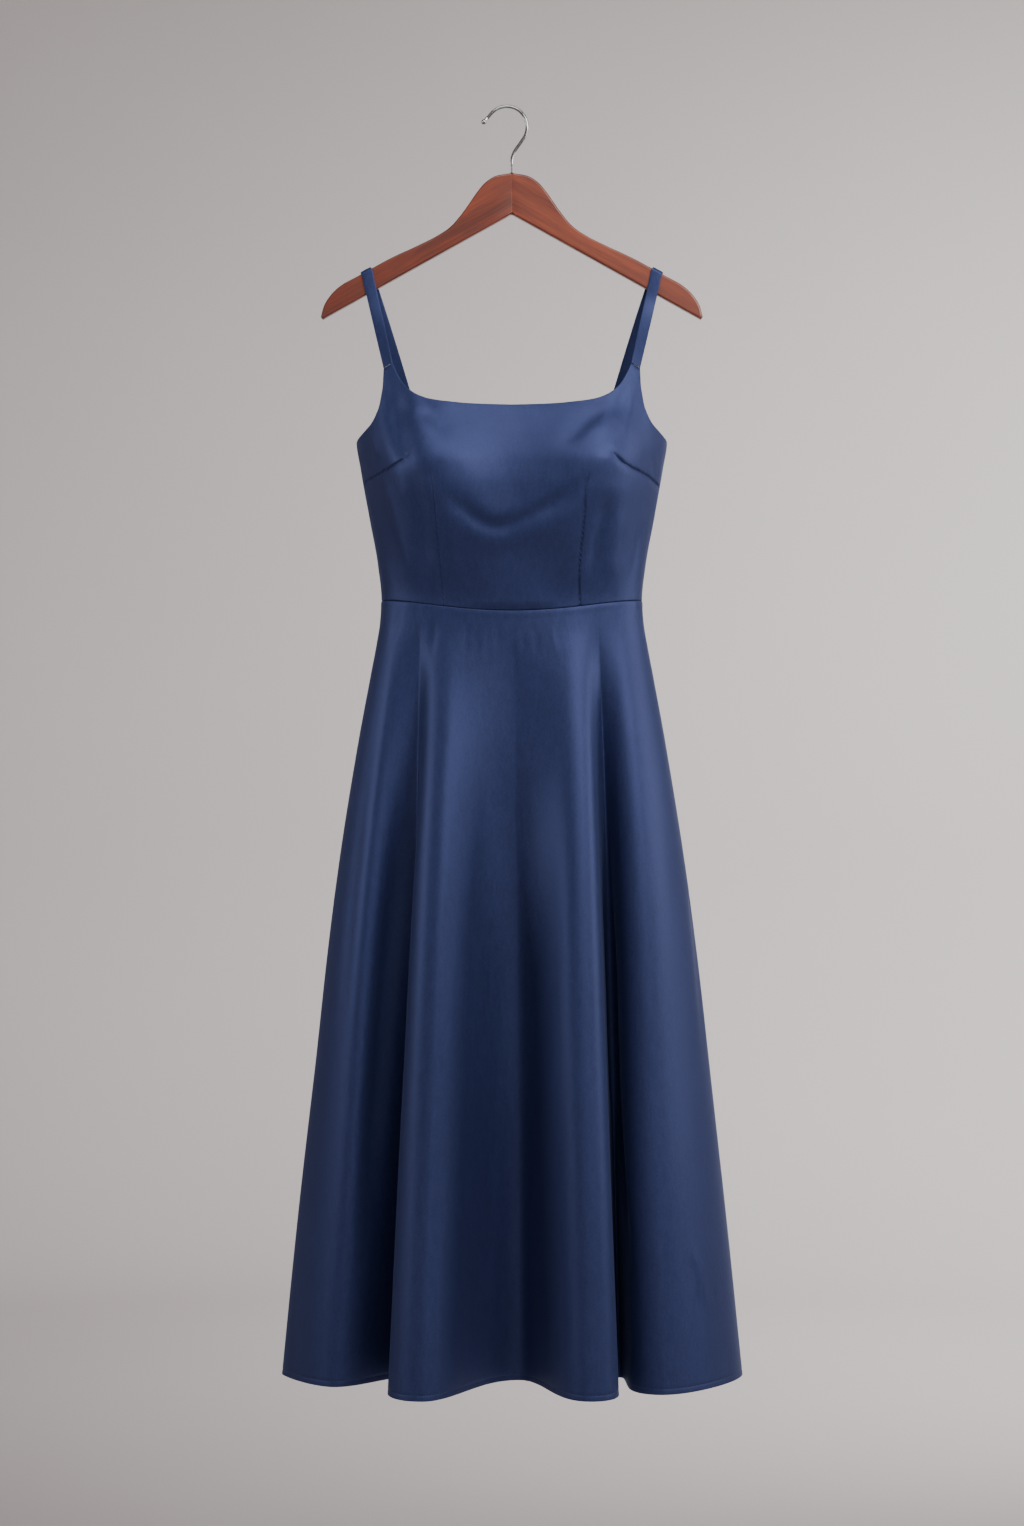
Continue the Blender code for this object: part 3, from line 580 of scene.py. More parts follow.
@dataclass(frozen=True)
class Softbox:
    """A studio light: where it stands, what it points at, its size, power, tint and spread in degrees."""

    name: str
    place: Colour
    aim: Colour
    size: tuple[float, float]
    power: float
    tint: Colour = (1.0, 1.0, 1.0)
    spread: float = 180.0

    def build(self) -> None:
        """Put the light into the scene."""
        data = bpy.data.lights.new(self.name, "AREA")
        data.shape = "RECTANGLE"
        data.size, data.size_y = self.size
        data.energy = self.power
        data.spread = math.radians(self.spread)
        data.color = self.tint
        lamp = bpy.data.objects.new(self.name, data)
        lamp.location = self.place
        lamp.rotation_euler = (Vector(self.aim) - Vector(self.place)).to_track_quat("-Z", "Y").to_euler()
        bpy.context.collection.objects.link(lamp)


@dataclass(frozen=True)
class Studio:
    """The camera, a pale sweep of floor and wall, and soft light."""

    distance: float = 3.6
    eye_height: float = -0.7542
    lens: float = 73.74
    floor: float = -2.1
    radius: float = 5.4
    bend: float = 1.1
    wall_top: float = 4.4
    paint: Colour = (0.50, 0.463, 0.457)
    ambient: float = 0.08
    lights: tuple[Softbox, ...] = (
        Softbox("key_softbox", (1.5, -2.0, 0.75), (0.0, 0.0, -0.62), (1.1, 1.1), 66.0, (1.0, 0.985, 0.965)),
        Softbox("right_strip", (2.5, -0.2, -0.2), (0.1, 0.0, -0.7), (0.8, 1.6), 36.0, (1.0, 0.99, 0.98)),
        Softbox("top_softbox", (0.05, -1.3, 1.25), (0.0, -0.05, -0.5), (1.3, 0.8), 24.0),
        Softbox("low_fill", (0.35, -3.1, -0.75), (0.0, 0.0, -0.62), (1.0, 0.7), 3.5),
        Softbox("left_strip", (-2.5, -0.8, -0.2), (-0.05, 0.0, -0.6), (0.7, 1.3), 26.0, (0.99, 0.985, 0.98)),
        Softbox("wall_wash", (2.0, 2.0, 0.7), (1.2, 5.4, -1.4), (2.4, 1.2), 158.0, spread=135.0),
        Softbox("front_wash", (0.0, -2.8, 2.6), (0.0, -5.4, -0.6), (2.6, 0.8), 60.0),
    )

    def build(self) -> None:
        """Set up the studio."""
        camera = bpy.data.cameras.new("camera")
        camera.sensor_fit = "VERTICAL"
        camera.sensor_height = 36.0
        camera.lens = self.lens
        view = bpy.data.objects.new("camera", camera)
        view.location = (0.006, -self.distance, self.eye_height)
        view.rotation_euler = (math.pi / 2.0, 0.0, 0.0)
        bpy.context.collection.objects.link(view)
        bpy.context.scene.camera = view
        self.sweep()
        for light in self.lights:
            light.build()
        world = bpy.data.worlds.new("studio_air")
        world.use_nodes = True
        world.node_tree.nodes["Background"].inputs["Color"].default_value = (0.93, 0.95, 1.0, 1.0)
        world.node_tree.nodes["Background"].inputs["Strength"].default_value = self.ambient
        bpy.context.scene.world = world

    def sweep(self) -> None:
        """Make the round floor that curves up into a wall on every side."""
        rise = np.linspace(0.0, math.pi / 2.0, 16)
        inner = self.radius - self.bend
        profile = [(reach, self.floor) for reach in (0.6, 1.6, 2.8)]
        profile += [(inner + self.bend * math.sin(angle), self.floor + self.bend * (1.0 - math.cos(angle)))
                    for angle in rise]
        profile.append((self.radius, self.wall_top))
        around = 96
        turn = np.linspace(0.0, 2.0 * math.pi, around, endpoint=False)
        points = [(reach * math.cos(a), reach * math.sin(a), z) for reach, z in profile for a in turn]
        faces = [(r * around + i, (r + 1) * around + i, (r + 1) * around + (i + 1) % around,
                  r * around + (i + 1) % around) for r in range(len(profile) - 1) for i in range(around)]
        faces.append(tuple(range(around)))
        mesh = bpy.data.meshes.new("studio_sweep")
        mesh.from_pydata(points, [], faces)
        mesh.shade_smooth()
        mesh.materials.append(StudioFinish("studio_paint", self.paint).build())
        sweep = bpy.data.objects.new("studio_sweep", mesh)
        bpy.context.collection.objects.link(sweep)


def set_in_place(name: str, mesh: bpy.types.Mesh | bpy.types.Curve, finish: Material,
                 replaced: str | None = None) -> Piece:
    """Put a piece on the dress.

    Args:
        name: the piece's name.
        mesh: its shape, measured from the dress's centre line.
        finish: its material.
        replaced: the solid that it stands for.

    Returns:
        The piece, riding on the garment.
    """
    piece = bpy.data.objects.new(name, mesh)
    piece.location = (CENTRE_X, 0.0, 0.0)
    bpy.context.collection.objects.link(piece)
    mesh.materials.append(finish)
    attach(piece, GARMENT)
    if replaced is not None:
        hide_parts(replaced)
    log.info("made %s", name)
    return piece


def facing_out(name: str, points: Array, faces: Faces, sharp: float = 180.0) -> bpy.types.Mesh:
    """Make a smooth mesh whose faces all point outwards.

    Args:
        name: its name.
        points: its points.
        faces: its polygons.
        sharp: edges that turn by more than this many degrees stay sharp.

    Returns:
        The mesh.
    """
    mesh = bpy.data.meshes.new(name)
    mesh.from_pydata(np.asarray(points).tolist(), [], faces)
    shape = bmesh.new()
    shape.from_mesh(mesh)
    bmesh.ops.recalc_face_normals(shape, faces=shape.faces)
    shape.to_mesh(mesh)
    shape.free()
    mesh.shade_smooth()
    if sharp < 180.0:
        mesh.set_sharp_from_angle(angle=math.radians(sharp))
    return mesh


def ring_faces(rings: int, around: int) -> Faces:
    """The polygons of a tube of rings with its two ends closed."""
    faces = [(r * around + i, r * around + (i + 1) % around, (r + 1) * around + (i + 1) % around,
              (r + 1) * around + i) for r in range(rings - 1) for i in range(around)]
    return faces + [tuple(range(around - 1, -1, -1)), tuple(range((rings - 1) * around, rings * around))]


def shell(name: str, outer: Array, inner: Array, faces: Faces) -> bpy.types.Mesh:
    """Close a sheet of cloth.

    Args:
        name: the mesh's name.
        outer: points of its outer face.
        inner: points of its inner face, in the same order.
        faces: the outer face's polygons.

    Returns:
        A closed thin mesh with both faces and the rim between them.
    """
    count = len(outer)
    sides = {edge for face in faces for edge in zip(face, face[1:] + face[:1])}
    every = list(faces)
    every += [tuple(index + count for index in reversed(face)) for face in faces]
    every += [(b, a, a + count, b + count) for a, b in sorted(sides) if (b, a) not in sides]
    return facing_out(name, np.vstack([outer, inner]), every, CLOTH_EDGE)


@dataclass(frozen=True)
class PanelCut:
    """Triangles that fill one panel of the bodice, laid flat as (angle, height) pairs."""

    scale: float = 150.0 * MM
    step: float = 4.6 * MM
    edge_step: float = 2.6 * MM
    edge_rows: tuple[float, ...] = (0.35 * MM, 0.9 * MM, 2.2 * MM)
    guide_rows: tuple[float, ...] = (-3.0 * MM, -1.5 * MM, -0.6 * MM, 0.0, 0.6 * MM, 1.5 * MM, 3.0 * MM)
    guide_clear: float = 2.6 * MM

    def measure(self, points: Array, loop: Array) -> tuple[Array, Array]:
        """Find which points lie inside a loop, and how far each is from it.

        Args:
            points: the points.
            loop: the loop's corners.

        Returns:
            Whether each point is inside, and its distance from the loop.
        """
        within: list[Array] = []
        gaps: list[Array] = []
        end = np.roll(loop, -1, axis=0)
        side = end - loop
        rise = np.where(side[:, 1] == 0.0, 1.0, side[:, 1])
        for part in np.array_split(points, max(1, len(points) // 3000)):
            above = (loop[:, 1] > part[:, 1:2]) != (end[:, 1] > part[:, 1:2])
            crossing = loop[:, 0] + (part[:, 1:2] - loop[:, 1]) * side[:, 0] / rise
            within.append(np.sum(above & (part[:, 0:1] < crossing), axis=1) % 2 == 1)
            offset = part[:, None, :] - loop
            share = np.clip(np.sum(offset * side, axis=2) / np.sum(side * side, axis=1), 0.0, 1.0)
            gaps.append(np.linalg.norm(offset - share[..., None] * side, axis=2).min(axis=1))
        return np.concatenate(within), np.concatenate(gaps)

    def beside(self, line: Array, offset: float, closed: bool) -> Array:
        """Points at an offset to the left of a line."""
        along = np.roll(line, -1, axis=0) - np.roll(line, 1, axis=0) if closed else np.gradient(line, axis=0)
        along /= np.linalg.norm(along, axis=1, keepdims=True)
        return line + offset * np.column_stack([-along[:, 1], along[:, 0]])

    def fill(self, outline: Array, guides: Sequence[Array]) -> tuple[Array, list, Array]:
        """Fill an outline.

        Args:
            outline: its (angle, height) corners, anticlockwise.
            guides: lines along which the triangles are much finer.

        Returns:
            The points as (angle, height) pairs, the triangles, and each point's distance from the outline.
        """
        size = np.array([self.scale, 1.0])
        loop = outline * size
        rows = [self.beside(loop, offset, True) for offset in self.edge_rows]
        rows = [row[self.clear(row, loop, offset)] for row, offset in zip(rows, self.edge_rows)]
        lines = [resample(guide * size, 2.0 * MM) for guide in guides]
        extra = [self.beside(line, offset, False) for line in lines for offset in self.guide_rows]
        extra = [row[self.clear(row, loop, 1.6 * MM)] for row in extra]
        low, high = loop.min(axis=0), loop.max(axis=0)
        grid = []
        for index, level in enumerate(np.arange(low[1], high[1], self.step * math.sqrt(3.0) / 2.0)):
            across = np.arange(low[0] + (index % 2) * self.step / 2.0, high[0], self.step)
            grid.append(np.column_stack([across, np.full(len(across), level)]))
        spare = np.vstack(grid)
        within, gap = self.measure(spare, loop)
        spare = spare[within & (gap > self.edge_rows[-1] + 0.35 * self.step)]
        for line in lines:
            near = np.min(np.linalg.norm(spare[:, None, :] - line[None, :, :], axis=2), axis=1)
            spare = spare[near > self.guide_rows[-1] + self.guide_clear * 0.6]
        points = np.vstack([loop, *rows, *extra, spare])
        edges = [(index, (index + 1) % len(loop)) for index in range(len(loop))]
        result = delaunay_2d_cdt([Vector(point) for point in points], edges, [], 1, 1e-6)
        filled = np.array([tuple(point) for point in result[0]])
        return filled / size, [tuple(face) for face in result[2]], self.measure(filled, loop)[1]

    def clear(self, row: Array, loop: Array, offset: float) -> Array:
        """Which points of a row lie inside the loop and no nearer to it than their offset."""
        within, gap = self.measure(row, loop)
        return within & (gap > 0.9 * offset)


@dataclass(frozen=True)
class Bodice:
    """The fitted bodice: a front with its darts, and two back halves that meet at the zip."""

    form: BodiceForm
    cut: PanelCut = PanelCut()
    wall: float = 1.5 * MM
    edge_radius: float = 0.8 * MM
    seam: float = 0.2 * MM
    dart_step: float = 0.6
    dart_step_start: float = 0.6 * MM
    dart_step_reach: float = 4.5 * MM
    dart_dip: float = 0.55
    dart_dip_reach: float = 5.5 * MM
    dart_tip: float = 0.16
    dart_upper: tuple[float, float, float] = (0.6, 0.0, 0.8)
    neck_edge: tuple[EdgePoint, ...] = rows_of(EdgePoint,
        (0, -348.6), (45.2, -347.4), (71.2, -345.2), (92.6, -342.1),
        (107.6, -336.7), (116.2, -330.9), (124.4, -322), (131.1, -310.2),
        (136, -299.4),
    )
    armhole_edge: tuple[EdgePoint, ...] = rows_of(EdgePoint,
        (179, -383.3), (176.1, -381.4), (167.2, -374.1), (159.3, -366.2),
        (154.6, -357.5), (151.1, -348.6), (149, -338), (147, -324.7),
        (146.2, -305.3),
    )
    back_neck_edge: tuple[EdgePoint, ...] = rows_of(EdgePoint,
        (0, -396), (40, -395.5), (70, -393), (88, -388),
        (97, -381), (103, -372),
    )
    back_arm_edge: tuple[EdgePoint, ...] = rows_of(EdgePoint,
        (179, -383.3), (155, -382), (135, -379.5), (122, -376),
        (116, -372),
    )
    darts: tuple[Crease, ...] = rows_of(Crease,
        ("waist_dart_left", -1, 0.9, ((-77.1, -574), (-85.5, -478.7), (-91.4, -420.3))),
        ("waist_dart_right", -1, 0.9,
               ((77.6, -574.4), (76.6, -540.7), (81.6, -478.8), (85.3, -435.9), (88.4, -423.7))),
        ("bust_dart_left", -0.9, 0.9, ((-168, -431.9), (-133.2, -417.7), (-116.4, -404.8))),
        ("bust_dart_right", -1.6, 1.1, ((169.6, -435.9), (159.7, -429), (129.2, -416.8), (113, -404.5))),
    )
    front_creases: tuple[Crease, ...] = rows_of(Crease,
        ("left_side_ridge", 1.7, 11, ((-150, -418), (-130, -480), (-104, -562))),
        ("left_arm_ridge", 0.9, 6, ((-160, -372), (-152, -412))),
        ("left_arm_trough", -4.6, 12, ((-134, -318), (-131, -352), (-125, -392), (-113, -432))),
        ("left_dart_trough", -3.8, 11, ((-120, -408), (-107, -455), (-99, -505), (-96, -556))),
        ("waist_swell", 3, 30, ((-62, -562), (0, -567), (62, -562))),
        ("left_waist_ridge", 0.9, 7, ((-60, -566), (-66, -500), (-74, -452))),
        ("right_neck_trough", -2.4, 11, ((114, -340), (86, -366), (48, -402))),
        ("right_neck_ridge", 1.6, 10, ((124, -346), (104, -372), (70, -402))),
        ("right_strap_trough", -1.3, 7, ((133, -318), (122, -352), (104, -392))),
        ("right_strap_ridge", 1, 6, ((140, -325), (133, -356), (128, -396))),
        ("right_side_nick", -0.8, 3, ((157, -390), (161, -410), (164, -436))),
        ("right_waist_pull", -4, 9, ((114, -440), (106, -470), (96, -510), (90, -556))),
        ("right_side_ridge", 1.5, 10, ((128, -452), (118, -510), (106, -562))),
        ("right_side_trough", -0.9, 7, ((150, -470), (140, -520), (132, -562))),
        ("centre_trough", -0.8, 16, ((-4, -545), (-2, -500), (-1, -455))),
        ("neck_left_trough", -2.4, 13, ((-108, -345), (-84, -366), (-66, -392))),
        ("neck_middle_ridge", 0.5, 9, ((-40, -356), (0, -362), (40, -358))),
        ("under_bust", -4.6, 9.5, ((-86, -434), (-62, -462), (-17, -489), (32, -471),
                                         (72, -445), (96, -418))),
        ("pucker_one", 0.55, 2, ((124, -410), (114, -398), (108, -388))),
        ("pucker_two", -0.5, 2.2, ((121, -414), (106, -405), (95, -399))),
        ("pucker_three", 0.45, 2, ((117, -410), (104, -412), (92, -411))),
    )
    back_creases: tuple[Crease, ...] = rows_of(Crease,
        ("blade_pull", -1.2, 9, ((104, -380), (92, -420), (70, -462))),
        ("side_trough", -1.1, 8, ((150, -400), (132, -452), (118, -500))),
        ("side_ridge", 1, 9, ((138, -392), (116, -450), (98, -512))),
        ("waist_trough", -0.9, 9, ((46, -470), (38, -520), (34, -568))),
        ("waist_ridge", 0.8, 8, ((96, -500), (88, -540), (84, -566))),
        ("small_of_back", -0.9, 7, ((16, -540), (60, -548), (104, -542))),
    )
    ripples: tuple[Ripple, ...] = rows_of(Ripple,
        (0.16, 92, 190, 0.4, 0.15), (0.10, 57, 130, 2.1, -0.25), (0.05, 29, 88, 4.2, 0.1),
    )

    def edge(self, rows: Sequence[EdgePoint]) -> Array:
        """A cut edge as fine (angle, height) pairs."""
        return self.on_cloth(rows, self.cut.edge_step)

    def right_outline(self, arm: Sequence[EdgePoint], neck: Sequence[EdgePoint]) -> Array:
        """The right half's outline, from the waist at the centre round to the neck at the centre."""
        count = round(self.cut.scale * math.pi / 2.0 / self.cut.edge_step)
        angles = np.linspace(0.0, math.pi / 2.0, count + 1)
        waist = np.column_stack([angles, self.form.waist_height(angles) + self.seam / 2.0])
        underarm = arm[0].height * MM
        rows = round((underarm - waist[-1, 1]) / self.cut.edge_step)
        heights = np.linspace(waist[-1, 1], underarm, rows + 1)
        seam = np.column_stack([np.full(len(heights), math.pi / 2.0), heights])
        return np.vstack([waist, seam[1:], self.edge(arm)[1:], self.edge(neck)[::-1]])

    def on_cloth(self, line: Sequence[tuple[float, float]], step: float = 1.5 * MM) -> Array:
        """A line of (x, height) points in millimetres as fine (angle, height) pairs."""
        points = resample([(x * MM, height * MM) for x, height in line], step)
        return np.column_stack([self.form.angle_of(points[:, 0], points[:, 1]), points[:, 1]])

    def rise(self, places: Array, points: Array, side: Side, creases: Sequence[Crease]) -> Array:
        """Add up what the creases and ripples do.

        Args:
            places: the points as (angle, height) pairs.
            points: the same points on the form.
            side: front or back.
            creases: the creases, which fade at both of their ends.

        Returns:
            How far each point moves out of the form.
        """
        total = np.zeros(len(points))
        for crease in creases:
            line = self.on_cloth(crease.line)
            path = self.form.point(line[:, 0], line[:, 1], side)
            reach = crease.width * MM
            low, high = path.min(axis=0) - 3.0 * reach, path.max(axis=0) + 3.0 * reach
            box = np.all((points > low) & (points < high), axis=1)
            offset = np.linalg.norm(points[box][:, None, :] - path[None, :, :], axis=2)
            nearest = offset.argmin(axis=1)
            part = nearest / max(1, len(path) - 1)
            total[box] += crease.rise * MM * fade(part, 0.35) * np.exp(-(offset.min(axis=1) / reach) ** 2)
        across = places[:, 0] * self.cut.scale
        for ripple in self.ripples:
            total += ripple.wave(across, places[:, 1] + ripple.lean * across)
        return total

    def sheet(self, name: str, outline: Array, side: Side, creases: Sequence[Crease], seams: Sequence[Crease],
              mirror: float, finish: Material) -> Piece:
        """Make one panel.

        Args:
            name: the solid that it stands for.
            outline: its outline as (angle, height) pairs.
            side: front or back.
            creases: its soft creases.
            seams: its darts.
            mirror: 1, or -1 for a panel made from its opposite one.
            finish: its material.

        Returns:
            The piece.
        """
        guides = [self.on_cloth(seam.line) for seam in seams]
        places, faces, gap = self.cut.fill(outline, guides)
        points = self.form.point(places[:, 0], places[:, 1], side)
        outward = self.form.normal(places[:, 0], places[:, 1], side)
        if mirror < 0.0:
            creases = [crease._replace(rise=crease.rise * 1.15, line=tuple(
                (x * 0.94 - 3.0, height + 7.0) for x, height in crease.line)) for crease in creases]
        hold = np.clip(gap / (6.0 * MM), 0.0, 1.0)
        lift = self.rise(places, points, side, creases) * hold
        lift += sum((self.rise_of_seam(points, seam, side) for seam in seams), np.zeros(len(points)))
        outer = points + outward * (lift - rolled(gap, self.edge_radius))[:, None]
        inner = points + outward * (lift - self.wall)[:, None]
        if side is Side.BACK:
            for face in (outer, inner):
                face[:, 0] = np.maximum(face[:, 0], self.seam / 2.0)
                face[:, 0] *= mirror
        for face in (outer, inner):
            face[:, 1] = side.value * np.maximum(side.value * face[:, 1], self.seam / 2.0)
        piece = set_in_place("satin_" + name, shell(name, outer, inner, faces), finish, name)
        return piece

    def rise_of_seam(self, points: Array, seam: Crease, side: Side) -> Array:
        """What a dart does: its upper side steps over the lower one in a dip, less and less to its tip."""
        line = self.on_cloth(seam.line)
        path = self.form.point(line[:, 0], line[:, 1], side)
        offset = np.empty(len(points))
        nearest = np.empty(len(points), dtype=int)
        for part in np.array_split(np.arange(len(points)), 8):
            gaps = np.linalg.norm(points[part][:, None, :] - path[None, :, :], axis=2)
            offset[part] = gaps.min(axis=1)
            nearest[part] = gaps.argmin(axis=1)
        along = np.clip((1.0 - nearest / max(1, len(path) - 1)) / self.dart_tip, 0.0, 1.0)
        groove = np.exp(-(offset / (seam.width * MM)) ** 2)
        dip = self.dart_dip * np.exp(-(offset / self.dart_dip_reach) ** 2)
        upper = np.sign((points - path[nearest]) @ np.array(self.dart_upper))
        step = upper * np.minimum(1.0, offset / self.dart_step_start)
        step *= np.exp(-(offset / self.dart_step_reach) ** 2)
        return along * MM * (seam.rise * (groove + dip) + self.dart_step * step)

    def build(self, finish: Material) -> None:
        """Make the bodice's three panels."""
        right = self.right_outline(self.armhole_edge, self.neck_edge)
        left = right[-2:0:-1] * np.array([-1.0, 1.0])
        self.sheet("bodice_front", np.vstack([right, left]), Side.FRONT, self.front_creases, self.darts, 1.0,
                   finish)
        half = self.right_outline(self.back_arm_edge, self.back_neck_edge)
        rows = round((half[-1, 1] - half[0, 1]) / self.cut.edge_step)
        heights = np.linspace(half[-1, 1], half[0, 1], rows + 1)[1:-1]
        outline = np.vstack([half, np.column_stack([np.zeros(len(heights)), heights])])
        for name, mirror in (("bodice_back_right", 1.0), ("bodice_back_left", -1.0)):
            self.sheet(name, outline, Side.BACK, self.back_creases, (), mirror, finish)


@dataclass(frozen=True)
class SkirtPanel:
    """One panel of the skirt, with its folds and its small creases."""

    name: str
    side: Side
    folds: tuple[Fold, ...]
    creases: tuple[Crease, ...]
    flat: tuple[float, float]
    area: float


@dataclass(frozen=True)
class Skirt:
    """The flared skirt: a front and two back panels, sewn to the waist seam and hemmed with a topstitch."""

    form: SkirtForm
    panels: tuple[SkirtPanel, ...]
    wall: float = 1.5 * MM
    seam: float = 0.2 * MM
    edge_radius: float = 0.8 * MM
    column_step: float = 4.6 * MM
    column_turn: float = math.radians(5.0)
    row_step: float = 8.0 * MM
    drop: float = 0.885
    top_rows: tuple[float, ...] = (0.0, 0.35, 0.9, 1.8, 3.2, 5.0, 7.5, 10.5, 14.0, 18.0, 23.0, 29.0)
    hem_rows: tuple[float, ...] = (16.0, 11.0, 8.6, 7.2, 6.4, 5.6, 4.4, 2.6, 1.3, 0.6, 0.0)
    edge_columns: tuple[float, ...] = (0.0, 0.35, 0.9, 2.0)
    stitch_height: float = 6.4 * MM
    stitch_pitch: float = 3.1 * MM
    stitch_size: tuple[float, float, float] = (2.3 * MM, 0.42 * MM, 0.24 * MM)
    seam_ridge: float = 0.28 * MM
    seam_ridge_at: float = 4.0 * MM
    seam_ridge_reach: float = 2.6 * MM
    pucker_reach: float = 26.0 * MM
    stitch_dip: float = 0.35 * MM
    stitch_dip_reach: float = 0.9 * MM
    waist_round: float = 0.75
    ripple_growth: float = 5.0
    ripples: tuple[Ripple, ...] = rows_of(Ripple,
        (0.30, 148, 620, 0.7, 0.10), (0.12, 83, 390, 2.6, -0.12), (0.05, 47, 240, 5, 0.08),
    )
    puckers: tuple[Ripple, ...] = rows_of(Ripple,
        (0.09, 17, 90, 0.3, 0), (0.08, 27, 120, 1.9, 0), (0.05, 11, 60, 4, 0),
    )

    def rows(self) -> Array:
        """How far each row of points lies below the waist seam, in metres."""
        top = np.array(self.top_rows) * MM
        low = self.drop - np.array(self.hem_rows) * MM
        count = round((low[0] - top[-1]) / self.row_step)
        return np.concatenate([top[:-1], np.linspace(top[-1], low[0], count + 1), low[1:]])

    def columns(self, hem: Array) -> Array:
        """Which of the hem's fine points carry a column, closer together where it bends and at its ends."""
        along = np.gradient(hem, axis=0)
        heading = np.unwrap(np.arctan2(along[:, 1], along[:, 0]))
        length = arc_length(hem)
        weight = np.diff(length) / self.column_step + np.abs(np.diff(heading)) / self.column_turn
        total = np.concatenate([[0.0], np.cumsum(weight)])
        wanted = np.linspace(0.0, total[-1], math.ceil(total[-1]) + 1)
        chosen = np.interp(wanted, total, length)
        ends = np.array(self.edge_columns) * MM
        chosen = chosen[(chosen > ends[-1] * 1.5) & (chosen < length[-1] - ends[-1] * 1.5)]
        return np.concatenate([ends, chosen, (length[-1] - ends)[::-1]])

    def rise(self, panel: SkirtPanel, plan: Array, length: Array, height: Array, below: float,
             share: Array) -> Array:
        """Add up what the creases and ripples do along one ring.

        Args:
            panel: the panel.
            plan: the ring's points seen from above.
            length: the arc length at each of them.
            height: their heights.
            below: how far the ring lies below the waist seam.
            share: the share of the waist that each hangs from.

        Returns:
            How far each point moves out of the form.
        """
        total = np.zeros(len(plan))
        level = float(height.mean())
        for crease in panel.creases:
            xs = np.array([point[0] for point in crease.line]) * MM
            zs = np.array([point[1] for point in crease.line]) * MM
            if not zs.min() <= level <= zs.max():
                continue
            part = (zs.max() - level) / (zs.max() - zs.min())
            target = float(smooth(zs, xs, np.array([level]))[0])
            offset = plan[:, 0] - target
            crossings = np.nonzero(offset[:-1] * offset[1:] <= 0.0)[0]
            if not len(crossings):
                continue
            seen = crossings[np.argmax(np.abs(plan[crossings, 1]))]
            total += crease.rise * MM * fade(np.array(part), 0.4) * np.exp(
                -((length - length[seen]) / (crease.width * MM)) ** 2)
        drop = below / self.drop
        for ripple in self.ripples:
            grown = min(1.0, drop * self.ripple_growth)
            total += grown * ripple.wave(share * self.waist_round, below + ripple.lean * share)
        near = math.exp(-below / self.pucker_reach)
        for pucker in self.puckers:
            total += near * pucker.wave(length, below)
        total += self.seam_ridge * math.exp(-((below - self.seam_ridge_at) / self.seam_ridge_reach) ** 2)
        above = self.drop - below
        total -= self.stitch_dip * math.exp(-((above - self.stitch_height) / self.stitch_dip_reach) ** 2)
        return total - rolled(np.array(min(below, above)), self.edge_radius)

    def rings(self, panel: SkirtPanel) -> tuple[Array, Array, Array]:
        """Lay out a panel's points.

        Args:
            panel: the panel.

        Returns:
            Its outer points, its inner points and its outward directions, each by row and column.
        """
        hem, share = self.form.hem_ring(panel.folds, panel.side)
        waist, top = self.form.waist_ring(share, panel.side)
        chosen = self.columns(hem)
        at = arc_length(hem)
        sides = []
        for below in self.rows():
            drop = below / self.drop
            spread = float(self.form.spread(np.array(drop)))
            plan = (1.0 - spread) * waist + spread * hem
            along = np.gradient(plan, axis=0)
            along /= np.linalg.norm(along, axis=1, keepdims=True)
            outward = panel.side.value * np.column_stack([-along[:, 1], along[:, 0]])
            plan[0] += along[0] * self.seam / 2.0
            plan[-1] -= along[-1] * self.seam / 2.0
            height = top - self.seam / 2.0 + (self.form.hem - top + self.seam / 2.0) * drop
            length = arc_length(plan)
            lift = self.rise(panel, plan, length, height, below, share)
            lift -= rolled(np.minimum(length, length[-1] - length), self.edge_radius)
            outer = plan + outward * lift[:, None]
            inner = plan + outward * (lift - self.wall)[:, None]
            ring = np.column_stack([outer, height, inner, height, outward])
            sides.append(along_line(ring, at, chosen))
        grid = np.array(sides)
        return grid[:, :, 0:3], grid[:, :, 3:6], grid[:, :, 6:8]

    def build(self, finish: Material, thread: Material) -> None:
        """Make the panels and the stitches along their hem."""
        for panel in self.panels:
            outer, inner, outward = self.rings(panel)
            rows, across = outer.shape[:2]
            corner = (np.arange(rows - 1)[:, None] * across + np.arange(across - 1)).ravel()
            faces = [(int(a), int(a) + across, int(a) + across + 1, int(a) + 1) for a in corner]
            mesh = shell(panel.name, outer.reshape(-1, 3), inner.reshape(-1, 3), faces)
            piece = set_in_place("satin_" + panel.name, mesh, finish, panel.name)
            stitches = self.stitches(panel, outer, outward, thread)

